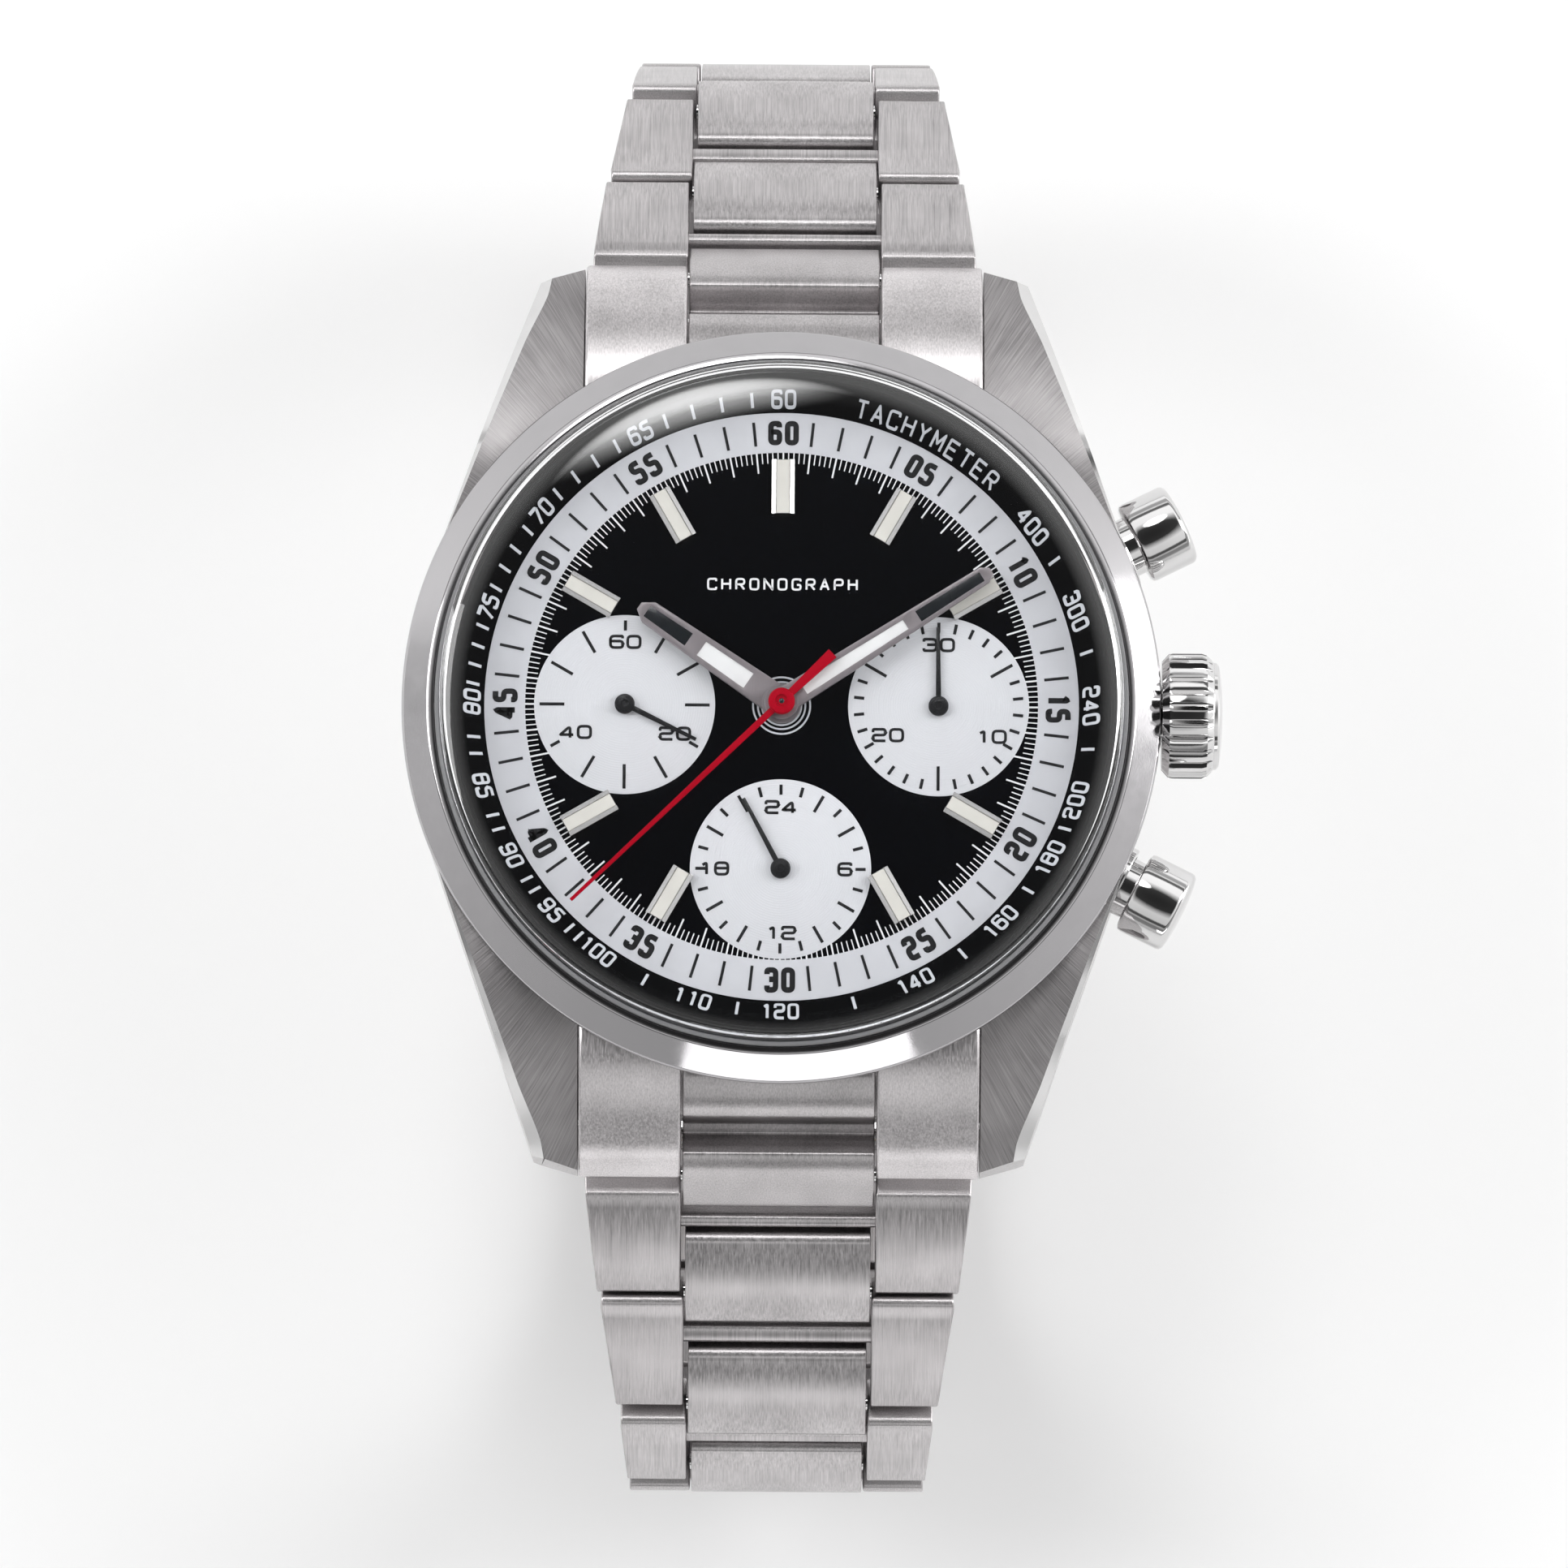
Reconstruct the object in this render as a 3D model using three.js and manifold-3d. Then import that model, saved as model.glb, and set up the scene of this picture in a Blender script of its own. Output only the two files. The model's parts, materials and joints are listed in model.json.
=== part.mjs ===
// Chronograph wristwatch on a closed three-piece-link bracelet.
// Millimetres, +Z up. +X points to 3 o'clock (the crown), +Y to 12 o'clock.
// The origin is the middle of the clasp's flat outer face, straight under the dial's centre.
import * as THREE from "three";
import { mergeVertices } from "three/addons/utils/BufferGeometryUtils.js";
import Module from "manifold-3d";

const wasm = await Module();
wasm.setup();

// ---------------------------------------------------------------- driving dimensions
const ROUND = 40; // segments of a full turn on large rings
const SMALL_ROUND = 12; // segments of a full turn on pins, arbors and hubs
const CASE_R = 18.8; // the case's round flank at 3 and 9 o'clock
const BORE_R = 16.6; // through bore that takes dial and movement
const LUG_GAP = 20.1; // width between the lugs, for a 20 mm bracelet
const LUG_TIP_Y = 22.9;
const DIAL_R = 16.3;
const SUBDIAL_X = 7.8; // distance of the 3 and 9 o'clock subdials from the centre
const SUBDIAL_Y = 8.2; // distance of the 6 o'clock subdial
const PITCH = 7.1; // hinge to hinge along the bracelet
const LINK_TOP = 1.6; // outer face of a link above its hinge line
const LINK_BOTTOM = -1.5; // skin side of a link
const CLASP_PIN_Z = 2.3; // height of the two bracelet pins at the clasp
const FIRST_HINGE = { y: 22.75, z: -6.0 }; // end link to first link, from the dial's top face
// Direction of each link below the horizontal, from the end link round to the clasp, in degrees.
const LINK_SLOPES = [41, 43, 70, 99, 126, 150, 171];
// Outer half-width at the near and far end of each link, and half-width of its centre piece.
const LINK_WIDTHS = [
  [9.7, 9.1, 4.65],
  [8.87, 8.15, 4.5],
  [7.9, 7.6, 4.35],
  [7.5, 7.5, 4.3],
  [7.5, 7.5, 4.3],
  [7.5, 7.5, 4.3],
  [7.5, 7.5, 4.3],
];
const END_TONGUE_HALF = 4.8; // half-width of the end link's own centre piece
const SIDE_GAP = 0.12; // between a tongue and the outer pieces beside it

const degrees = (a) => (a * Math.PI) / 180;

// The hinge line of the bracelet, seen from the crown's side, from the dial's top face.
const hinges = [FIRST_HINGE];
for (const slope of LINK_SLOPES) {
  const last = hinges.at(-1);
  hinges.push({
    y: last.y + PITCH * Math.cos(degrees(slope)),
    z: last.z - PITCH * Math.sin(degrees(slope)),
  });
}
const CLASP_PIN_Y = hinges.at(-1).y;
const DIAL_Z = CLASP_PIN_Z - hinges.at(-1).z; // height of the dial's top face over the table

// ---------------------------------------------------------------- materials
const metal = (color, roughness) =>
  new THREE.MeshStandardMaterial({ color, roughness, metalness: 1 });
const plain = (color, roughness) =>
  new THREE.MeshStandardMaterial({ color, roughness, metalness: 0 });
const brushedSteel = metal(0xb9b7b5, 0.38);
const polishedSteel = metal(0xd4d2d2, 0.1);
const brass = metal(0xc9a45a, 0.3);
const plateSteel = metal(0xc8c6c2, 0.35);
const blackLacquer = plain(0x060608, 0.2);
const blackPaint = plain(0x151517, 0.5);
const redPaint = plain(0xc8000f, 0.35);
const gasketWhite = plain(0xcfcfcf, 0.6);
const mineralGlass = new THREE.MeshStandardMaterial({
  color: 0xffffff,
  roughness: 0.02,
  transparent: true,
  opacity: 0.3,
});

// ---------------------------------------------------------------- solids
// A closed geometry as a manifold solid, turned the right way out.
function solid(geometry) {
  const bare = geometry.index ? geometry.toNonIndexed() : geometry.clone();
  bare.deleteAttribute("normal");
  bare.deleteAttribute("uv");
  const merged = mergeVertices(bare, 1e-4);
  return new wasm.Manifold(
    new wasm.Mesh({
      numProp: 3,
      vertProperties: merged.attributes.position.array,
      triVerts: new Uint32Array(merged.index.array),
    }),
  );
}

function geometryOf(manifold) {
  const mesh = manifold.getMesh();
  const positions = new Float32Array(mesh.numVert * 3);
  for (let i = 0; i < mesh.numVert; i++)
    positions.set(mesh.vertProperties.subarray(i * mesh.numProp, i * mesh.numProp + 3), i * 3);
  return new THREE.BufferGeometry()
    .setAttribute("position", new THREE.BufferAttribute(positions, 3))
    .setIndex(new THREE.BufferAttribute(mesh.triVerts, 1));
}

const join = (first, ...others) => others.reduce((sum, other) => sum.add(other), first);
const cut = (first, ...others) => others.reduce((rest, other) => rest.subtract(other), first);

// Solid of revolution about Z from [radius, z] points, closed through the axis or on itself.
function turned(points, segments = ROUND) {
  const closed = points.at(0)[0] === 0 && points.at(-1)[0] === 0 ? points : [...points, points[0]];
  let area = 0;
  closed.forEach(([r, z], i) => {
    const [nextR, nextZ] = closed[(i + 1) % closed.length];
    area += r * nextZ - nextR * z;
  });
  const ordered = area > 0 ? closed : [...closed].reverse();
  const profile = ordered.map(([r, z]) => new THREE.Vector2(r, z));
  return solid(new THREE.LatheGeometry(profile, segments).rotateX(Math.PI / 2));
}

const ring = (inner, outer, low, high, segments = ROUND) =>
  turned([[inner, low], [outer, low], [outer, high], [inner, high]], segments);
const disc = (radius, low, high, segments = ROUND) =>
  turned([[0, low], [radius, low], [radius, high], [0, high]], segments);

// Flat shape in X and Y, raised from z = low to z = high.
function plate(shape, low, high, curveSegments = 6) {
  const options = { depth: high - low, bevelEnabled: false, curveSegments };
  return solid(new THREE.ExtrudeGeometry(shape, options).translate(0, 0, low));
}

function polygon(points) {
  return new THREE.Shape(points.map(([x, y]) => new THREE.Vector2(x, y)));
}

// Outline in Y and Z, raised along X from x = left to x = right.
function profileAlongX(points, left, right) {
  const options = { depth: right - left, bevelEnabled: false };
  const geometry = new THREE.ExtrudeGeometry(polygon(points), options);
  // shape x to +Y, shape y to +Z, depth to +X
  const turn = new THREE.Matrix4().makeBasis(
    new THREE.Vector3(0, 1, 0),
    new THREE.Vector3(0, 0, 1),
    new THREE.Vector3(1, 0, 0),
  );
  return solid(geometry.applyMatrix4(turn).translate(left, 0, 0));
}

const box = (x0, x1, y0, y1, z0, z1) =>
  solid(
    new THREE.BoxGeometry(x1 - x0, y1 - y0, z1 - z0).translate(
      (x0 + x1) / 2,
      (y0 + y1) / 2,
      (z0 + z1) / 2,
    ),
  );

// Round bar along X at a place in Y and Z.
const barAlongX = (radius, left, right, y, z, segments = SMALL_ROUND) =>
  solid(
    new THREE.CylinderGeometry(radius, radius, right - left, segments)
      .rotateZ(Math.PI / 2)
      .translate((left + right) / 2, y, z),
  );

const arbor = (radius, x, y, low, high, segments = SMALL_ROUND) =>
  disc(radius, low, high, segments).translate([x, y, 0]);

// Points of an arc, from one angle to another in degrees, ends included.
function arc(radius, from, to, steps, centreX = 0, centreY = 0) {
  return Array.from({ length: steps + 1 }, (_, i) => {
    const angle = degrees(from + ((to - from) * i) / steps);
    return [centreX + radius * Math.cos(angle), centreY + radius * Math.sin(angle)];
  });
}

function mesh(name, manifold, material) {
  const made = new THREE.Mesh(geometryOf(manifold), material);
  made.name = name;
  return made;
}

// ---------------------------------------------------------------- case and its covers
const BEZEL = { inner: 17.5, outer: 18.95, top: 1.75, topInner: 17.6, topOuter: 17.8 };
const CASE_TOP = -0.05;
const CASE_BOTTOM = -5.9;
const CROWN_Z = -2.2;
const PUSHER_Z = -2.75;
const PUSHER_ANGLE = 26.4; // above and below 3 o'clock, in degrees
const SPRING_BAR = { y: 19.9, z: -5.3, radius: 0.75 };

// Plan of the case: a round middle with straight flanks drawn out to the four lug tips.
function casePlan() {
  const tangent = 19; // where the flanks leave the round, in degrees
  const lugOuter = [12.28, 22.15];
  const lugInner = [LUG_GAP / 2 - 0.3, LUG_TIP_Y];
  const quarter = [...arc(CASE_R, 0, tangent, 3), lugOuter, lugInner];
  const right = [...quarter.slice().reverse().map(([x, y]) => [x, -y]), ...quarter.slice(1)];
  return polygon([...right, ...right.map(([x, y]) => [-x, -y])]);
}

// Side view of the case: flat middle, top curving down to the lugs.
function caseSide() {
  const flatTo = 12.4;
  const lugDrop = 3.95;
  const top = Array.from({ length: 7 }, (_, i) => {
    const t = i / 6;
    return [flatTo + (LUG_TIP_Y - flatTo) * t, CASE_TOP - lugDrop * t ** 1.6];
  });
  const half = [...top, [22.95, -6.2], [21.7, -8.0], [19.9, -8.2], [17.5, -6.8], [17.2, CASE_BOTTOM]];
  return [...half.map(([y, z]) => [-y, z]), ...half.slice().reverse()];
}

function caseMiddle() {
  const low = -9;
  const high = 1;
  const block = plate(casePlan(), low, high, 1).intersect(
    profileAlongX(caseSide(), -CASE_R - 1, CASE_R + 1),
  );
  const bezelNeck = ring(BORE_R, BEZEL.inner - 0.1, CASE_TOP - 0.4, 0.55);
  const bore = disc(BORE_R, low, high + 1);
  const shell = cut(join(block, bezelNeck), bore);
  const lugGap = cut(
    join(
      box(-LUG_GAP / 2, LUG_GAP / 2, 10, 30, low - 1, high),
      box(-LUG_GAP / 2, LUG_GAP / 2, -30, -10, low - 1, high),
    ),
    disc(17.8, low - 2, high + 2),
  );
  const barHole = 0.9;
  const barHoles = [1, -1].map((side) =>
    barAlongX(barHole, -11.2, 11.2, side * SPRING_BAR.y, SPRING_BAR.z),
  );
  const stemHole = barAlongX(0.85, 10, 25, 0, CROWN_Z);
  return cut(shell, lugGap, ...barHoles, stemHole, ...[1, -1].map(pusherHole));
}

// A shape modelled along +X from the dial's axis, carried round to its pusher's place.
const toPusher = (made, side) =>
  made.rotate([0, 0, side * PUSHER_ANGLE]).translate([0, 0, PUSHER_Z]);
const pusherHole = (side) => toPusher(barAlongX(1.7, 12, 25, 0, 0), side);

function bezel() {
  const { inner, outer, top, topInner, topOuter } = BEZEL;
  return turned([
    [inner, 0.02], [outer, 0.02], [outer, 0.35], [topOuter, top], [topInner, top], [inner, 1.6],
  ]);
}

function crystal() {
  const skirt = 16.62;
  const edge = 17.0;
  return turned([
    [0, 2.95], [8, 2.85], [15, 2.5], [16.3, 2.3], [skirt, 2.0], [skirt, 0.7], [edge, 0.7], [edge, 2.8],
    [16.5, 3.3], [14, 3.6], [8, 3.88], [0, 4.0],
  ]);
}

function caseback() {
  const body = turned([
    [16.55, -5.95], [16.9, -6.3], [16.9, -7.3], [15.7, -8.6], [12.6, -8.6], [12.6, -7.5], [11.9, -7.5],
    [11.9, -6.9], [15.2, -6.4], [15.3, -5.95],
  ]);
  const notch = box(15.4, 18, -0.9, 0.9, -9, -7.7);
  const notches = Array.from({ length: 6 }, (_, i) => notch.rotate([0, 0, 30 + 60 * i]));
  return cut(body, ...notches);
}

// ---------------------------------------------------------------- dial and hands
const MARKER = { inner: 9.75, outer: 12.5, width: 1.15, height: 0.55 };
const MARKER_HOURS = [12, 1, 2, 4, 5, 7, 8, 10, 11];

function dial() {
  const shape = new THREE.Shape().absarc(0, 0, DIAL_R, 0, Math.PI * 2);
  const arborHole = (x, y, r) =>
    shape.holes.push(new THREE.Path().absarc(x, y, r, 0, Math.PI * 2, true));
  arborHole(0, 0, 1.0);
  arborHole(-SUBDIAL_X, 0, 0.4);
  arborHole(SUBDIAL_X, 0, 0.4);
  arborHole(0, -SUBDIAL_Y, 0.4);
  const { inner, outer, width, height } = MARKER;
  const side = [
    [inner, -0.1], [inner, height * 0.7], [inner + 0.15, height],
    [outer - 0.15, height], [outer, height * 0.7], [outer, -0.1],
  ];
  const marker = profileAlongX(side, -width / 2, width / 2);
  const markers = MARKER_HOURS.map((hour) => marker.rotate([0, 0, -30 * hour]));
  return join(plate(shape, -0.4, 0, 12), ...markers);
}

// Printed slope round the dial, with a flat step and a thin upright wall above it.
function tachymeterRing() {
  return turned([
    [14.75, 0.03], [16.5, 0.03], [16.5, 2.05], [16.3, 2.05], [16.3, 1.35], [15.87, 1.35], [14.8, 0.1],
  ]);
}

// Hands point along +Y and turn clockwise from there, in degrees.
const clockwise = (made, angle, x = 0, y = 0) => made.rotate([0, 0, -angle]).translate([x, y, 0]);

// Sword-tipped baton with two windows, on a flat hub.
function baton({ length, width, hub, low, high, windows }) {
  const shoulder = length - width * 0.45;
  const outline = polygon([
    [-width / 2, 0], [width / 2, 0], [width / 2, shoulder], [width * 0.22, length], [-width * 0.22, length],
    [-width / 2, shoulder],
  ]);
  const blade = plate(outline, low, high);
  const openings = windows.map(([from, to]) =>
    box(-width * 0.28, width * 0.28, from, to, low - 1, high + 1),
  );
  return join(cut(blade, ...openings), disc(hub, low, high, 24));
}

function hourHand() {
  const blade = baton({
    length: 8.5, width: 1.45, hub: 1.25, low: 0.55, high: 0.75, windows: [[2.1, 4.5], [5.3, 7.9]],
  });
  const tube = disc(0.85, -0.45, 0.75);
  return clockwise(cut(join(blade, tube), disc(0.62, -1, 2, SMALL_ROUND)), 304.5);
}

function minuteHand() {
  const blade = baton({
    length: 12.4, width: 1.2, hub: 0.95, low: 0.95, high: 1.15, windows: [[1.7, 6.6], [7.5, 11.8]],
  });
  const tube = disc(0.55, -2.45, 1.15, SMALL_ROUND);
  return clockwise(cut(join(blade, tube), disc(0.34, -3, 2, SMALL_ROUND)), 57.4);
}

function chronographHand() {
  const outline = polygon([
    [-0.24, 0], [-0.28, -3.5], [0.28, -3.5], [0.24, 0], [0.07, 14.4], [-0.07, 14.4],
  ]);
  const hub = disc(0.6, 1.35, 1.7, 20);
  const post = disc(0.25, -5.9, 1.5, SMALL_ROUND);
  return clockwise(join(plate(outline, 1.35, 1.5), hub, post), 226);
}

// Small black hand on its arbor, which reaches down to its wheel.
function smallHand(angle, x, y, arborEnd) {
  const outline = polygon([[-0.11, 0], [0.11, 0], [0.09, 3.95], [-0.09, 3.95]]);
  const made = join(
    plate(outline, 0.14, 0.26),
    disc(0.56, 0.05, 0.4, 16),
    disc(0.22, arborEnd, 0.2, SMALL_ROUND),
  );
  return clockwise(made, angle, x, y);
}

// ---------------------------------------------------------------- crown and pushers
function crown() {
  const flutes = 24;
  const tip = 3.1;
  const root = 2.8;
  const outline = Array.from({ length: flutes * 2 }, (_, i) => {
    const angle = (i * Math.PI) / flutes;
    const r = i % 2 ? root : tip;
    return [r * Math.cos(angle), r * Math.sin(angle)];
  });
  const grip = plate(polygon(outline), 19.0, 21.55);
  const bevel = turned([[0, 18.9], [2.5, 18.9], [3.15, 19.35], [3.15, 21.2], [2.75, 21.65], [0, 21.65]], 24);
  const cap = turned([[0, 21.5], [2.75, 21.5], [2.6, 21.75], [1.5, 22.0], [0, 22.08]], 24);
  const hollow = disc(1.7, 18, 19.9, 24);
  const stemBore = disc(0.6, 19, 20.9, SMALL_ROUND);
  const upright = join(grip.intersect(bevel), cap);
  return cut(upright, hollow, stemBore).rotate([0, 90, 0]).translate([0, 0, CROWN_Z]);
}

function windingStem() {
  const rod = barAlongX(0.5, 8.5, 20.8, 0, CROWN_Z);
  const groove = cut(barAlongX(0.7, 10.6, 11.2, 0, CROWN_Z), barAlongX(0.34, 10, 12, 0, CROWN_Z));
  const pinion = barAlongX(0.8, 12.2, 13.4, 0, CROWN_Z);
  return join(cut(rod, groove), pinion);
}

// Lever whose fork sits in the stem's groove and slides with it.
function settingLever() {
  const fork = cut(box(10.75, 11.05, -0.95, 0.95, -3.1, CROWN_Z), barAlongX(0.42, 10, 12, 0, CROWN_Z));
  const arm = box(10.75, 11.05, -3.4, -0.75, -3.1, -2.7);
  return join(fork, arm);
}

function pusher(side) {
  const upright = turned([
    [0, 17.1], [1.5, 17.1], [1.5, 19.7], [2.1, 19.75], [2.1, 22.0], [1.95, 22.25], [1.3, 22.4], [0, 22.45],
  ], 24);
  return toPusher(upright.rotate([0, 90, 0]), side);
}

// ---------------------------------------------------------------- movement
const WHEELS = {
  barrel: { x: 3.85, y: 4.92 },
  third: { x: -4.6, y: 2.6 },
  escape: { x: -9.4, y: -3.65 },
  pallet: { x: -7.83, y: -5.6 },
  balance: { x: -4.6, y: -9.6 },
  crownWheel: { x: 10.0, y: 2.3 },
  column: { x: 6.4, y: -9.6 },
};

const COCK_FOOT = { x: -10.3, y: -8.3 };

// Toothed wheel with crossings, about its own axis.
function wheel(teeth, tip, low, high, crossings = 0) {
  const depth = 0.3;
  const outline = Array.from({ length: teeth * 2 }, (_, i) => {
    const angle = (i * Math.PI) / teeth;
    const r = i % 2 ? tip - depth : tip;
    return new THREE.Vector2(r * Math.cos(angle), r * Math.sin(angle));
  });
  const shape = new THREE.Shape(outline);
  const inner = 0.9;
  const outer = tip - depth - 0.5;
  for (let i = 0; i < crossings; i++) {
    const start = (360 / crossings) * i + 9;
    const end = (360 / crossings) * (i + 1) - 9;
    const window = [...arc(outer, start, end, 3), ...arc(inner, end - 8, start + 8, 1)];
    shape.holes.push(new THREE.Path(window.map(([x, y]) => new THREE.Vector2(x, y))));
  }
  return plate(shape, low, high);
}

const at = (made, { x, y }) => made.translate([x, y, 0]);
const staff = (radius, low, high) => disc(radius, low, high, SMALL_ROUND);

function barrel() {
  return join(wheel(44, 5.25, -3.5, -3.2), disc(4.8, -3.5, -2.5, 32), staff(0.4, -5.2, -2.45));
}

// Bored for the minute hand's tube, with the post of the chronograph hand inside that.
function centreWheel() {
  return cut(join(wheel(36, 4.55, -3.9, -3.65, 4), disc(0.85, -3.9, -2.5, 16)), staff(0.34, -5, 0));
}

const thirdWheel = () => join(wheel(30, 3.35, -3.2, -3.0, 4), staff(0.6, -4.1, -2.9));
const escapeWheel = () => join(wheel(15, 2.1, -3.6, -3.4), staff(0.5, -4.0, -2.6));

// Bored for the small seconds hand's arbor.
function fourthWheel() {
  return cut(join(wheel(30, 3.35, -2.9, -2.7, 4), staff(0.6, -4.0, -2.6)), staff(0.26, -2.75, 0));
}

function mainPlate() {
  const body = turned([[1.1, -2.4], [15.25, -2.4], [15.25, -0.5], [1.1, -0.5]]);
  const holes = [
    arbor(0.4, -SUBDIAL_X, 0, -3, 0),
    arbor(0.4, SUBDIAL_X, 0, -3, 0),
    arbor(0.4, 0, -SUBDIAL_Y, -3, 0),
  ];
  const stemChannel = box(8.0, 16, -1.0, 1.0, -3, -1.25);
  const leverRecess = box(10.4, 12.6, -3.7, 0, -3, -2.3);
  return cut(body, ...holes, stemChannel, leverRecess);
}

// Three-quarter plate over the wheels, open round the balance.
function trainBridge() {
  const top = -4.2;
  const back = -5.15;
  const body = disc(14.4, back, top);
  const pillars = [[1.5, 11.9], [12.0, -5.5], [2.4, -13.0], [-11.8, 6.0]].map(([x, y]) =>
    arbor(1.0, x, y, top - 0.1, -2.43),
  );
  const balanceOpening = arbor(5.3, WHEELS.balance.x, WHEELS.balance.y, back - 1, top + 1, 24);
  const balanceMouth = box(-20, -4.6, -20, -9.6, back - 1, top + 1);
  const arborHoles = [
    arbor(0.42, 0, 0, back - 1, top + 1),
    arbor(0.42, SUBDIAL_X, 0, back - 1, top + 1),
    arbor(0.5, WHEELS.barrel.x, WHEELS.barrel.y, back - 1, top + 1),
    arbor(1.5, COCK_FOOT.x, COCK_FOOT.y, back - 1, top + 1),
  ];
  return cut(join(body, ...pillars), balanceOpening, balanceMouth, ...arborHoles);
}

function balanceCock() {
  const { x, y } = WHEELS.balance;
  const low = -6.25;
  const high = -5.75;
  const arm = polygon([
    [COCK_FOOT.x, COCK_FOOT.y - 1.2], [x, y - 0.8], [x, y + 0.8], [COCK_FOOT.x, COCK_FOOT.y + 1.2],
  ]);
  const cap = arbor(1.2, x, y, low, high, 16);
  const footPost = arbor(1.3, COCK_FOOT.x, COCK_FOOT.y, low, -2.43);
  return join(plate(arm, low, high), cap, footPost);
}

function balanceWheel() {
  const rim = ring(3.7, 4.2, -5.35, -4.85, 36);
  const arms = box(-3.8, 3.8, -0.28, 0.28, -5.25, -5.0);
  const axle = staff(0.3, -5.7, -2.6);
  const roller = disc(0.8, -4.3, -4.1, SMALL_ROUND);
  return at(join(rim, arms, axle, roller), WHEELS.balance);
}

function palletFork() {
  const { pallet, balance } = WHEELS;
  const toBalance = Math.atan2(balance.y - pallet.y, balance.x - pallet.x);
  const low = -3.6;
  const high = -3.4;
  const lever = box(0, 3.7, -0.15, 0.15, low, high);
  const arms = polygon([
    [-0.2, -2.2], [0.35, -1.4], [0.35, 1.4], [-0.2, 2.2], [-0.3, 1.4], [-0.1, 0], [-0.3, -1.4],
  ]);
  const axle = staff(0.25, -4.0, -2.6);
  const turnedTo = (THREE.MathUtils.radToDeg(toBalance) + 360) % 360;
  return at(join(lever, plate(arms, low, high), axle).rotate([0, 0, turnedTo]), pallet);
}

function columnWheel() {
  const base = wheel(12, 1.9, -5.6, -5.3);
  const columns = Array.from({ length: 6 }, (_, i) =>
    box(0.75, 1.45, -0.25, 0.25, -6.25, -5.5).rotate([0, 0, 60 * i]),
  );
  return at(join(base, disc(0.9, -5.95, -5.5, SMALL_ROUND), ...columns), WHEELS.column);
}

// ---------------------------------------------------------------- bracelet
// All link outlines are in the link's own frame: Y along the bracelet from its near hinge, Z outwards.
const NEAR_ROUND = 0.85; // round of the near end about its pin
const FAR_END = PITCH - 1.0; // outer pieces stop here
const NOSE_R = 0.9; // round nose of the centre piece about the next pin
const PIN_R = 0.4;
const PIN_BORE_R = 0.48;

// Slightly crowned top between two stations along the link.
function crownedTop(from, to, height, steps) {
  const middle = (from + to) / 2;
  return Array.from({ length: steps + 1 }, (_, i) => {
    const y = to + ((from - to) * i) / steps;
    return [y, height - 0.14 * ((y - middle) / (to - middle)) ** 2];
  });
}

// The first row swings up past the end link, so its near end is eased. The other rows only straighten,
// so theirs is full and closes on the row before.
function outerProfile(eased) {
  const start = eased ? 0.45 : 0.1;
  const nearTop = eased ? [[-0.6, 0.6]] : [[-0.4, 1.38], [-0.7, 1.2], [-NEAR_ROUND, 0.9]];
  return [
    ...nearTop,
    ...arc(NEAR_ROUND, 180, 225, 2),
    [0.3, LINK_BOTTOM],
    [FAR_END - 0.4, LINK_BOTTOM],
    [FAR_END, LINK_BOTTOM + 0.4],
    [FAR_END, 0.9],
    ...crownedTop(start, FAR_END - 0.45, LINK_TOP, 4),
  ];
}

function centreProfile() {
  const near = 2.3;
  return [
    [near, -1.2], [near + 0.3, LINK_BOTTOM], [PITCH - 0.65, LINK_BOTTOM], ...arc(NOSE_R, -75, 0, 3, PITCH, 0),
    [PITCH + 0.9, 0.9], [PITCH + 0.8, 1.15], [PITCH + 0.5, 1.3],
    ...crownedTop(near + 0.6, PITCH - 0.3, LINK_TOP, 4), [near + 0.15, 1.25], [near, 0.9],
  ];
}

const CROSSBAR = [
  [1.02, -1.2], [2.1, -1.2], [2.1, 0.65], [1.9, 1.05], [1.56, 1.22], [1.2, 1.05], [1.02, 0.65],
];

// Draws the outer flank of a straight piece in, from one half-width to another along Y.
function tapered(made, near, far) {
  return made.warp((vertex) => {
    if (Math.abs(vertex[0]) < near - 1e-3) return;
    const share = THREE.MathUtils.clamp(vertex[1] / FAR_END, 0, 1);
    vertex[0] = Math.sign(vertex[0]) * (near + (far - near) * share);
  });
}

function linkRow(index, clearTongue) {
  const [near, far, centreHalf] = LINK_WIDTHS[index];
  const neighbourHalf = index ? LINK_WIDTHS[index - 1][2] : END_TONGUE_HALF;
  const inner = neighbourHalf + SIDE_GAP;
  const outline = outerProfile(index === 0);
  const right = tapered(profileAlongX(outline, inner, near), near, far);
  const left = tapered(profileAlongX(outline, -near, -inner), near, far);
  const centre = profileAlongX(centreProfile(), -centreHalf, centreHalf);
  const bore = barAlongX(PIN_BORE_R, -centreHalf - 1, centreHalf + 1, PITCH, 0);
  const openEnd = box(-centreHalf - 1, centreHalf + 1, FAR_END - 0.2, PITCH + 2, -3, 3);
  const bridge = join(
    profileAlongX(CROSSBAR, -inner - 0.3, inner + 0.3),
    box(-centreHalf, centreHalf, 2.0, 2.5, -1.1, 0.35),
  );
  const pin = barAlongX(PIN_R, -inner - 0.3, inner + 0.3, 0, 0);
  return join(left, right, bridge, pin, cut(centre, clearTongue ? openEnd : bore));
}

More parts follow.
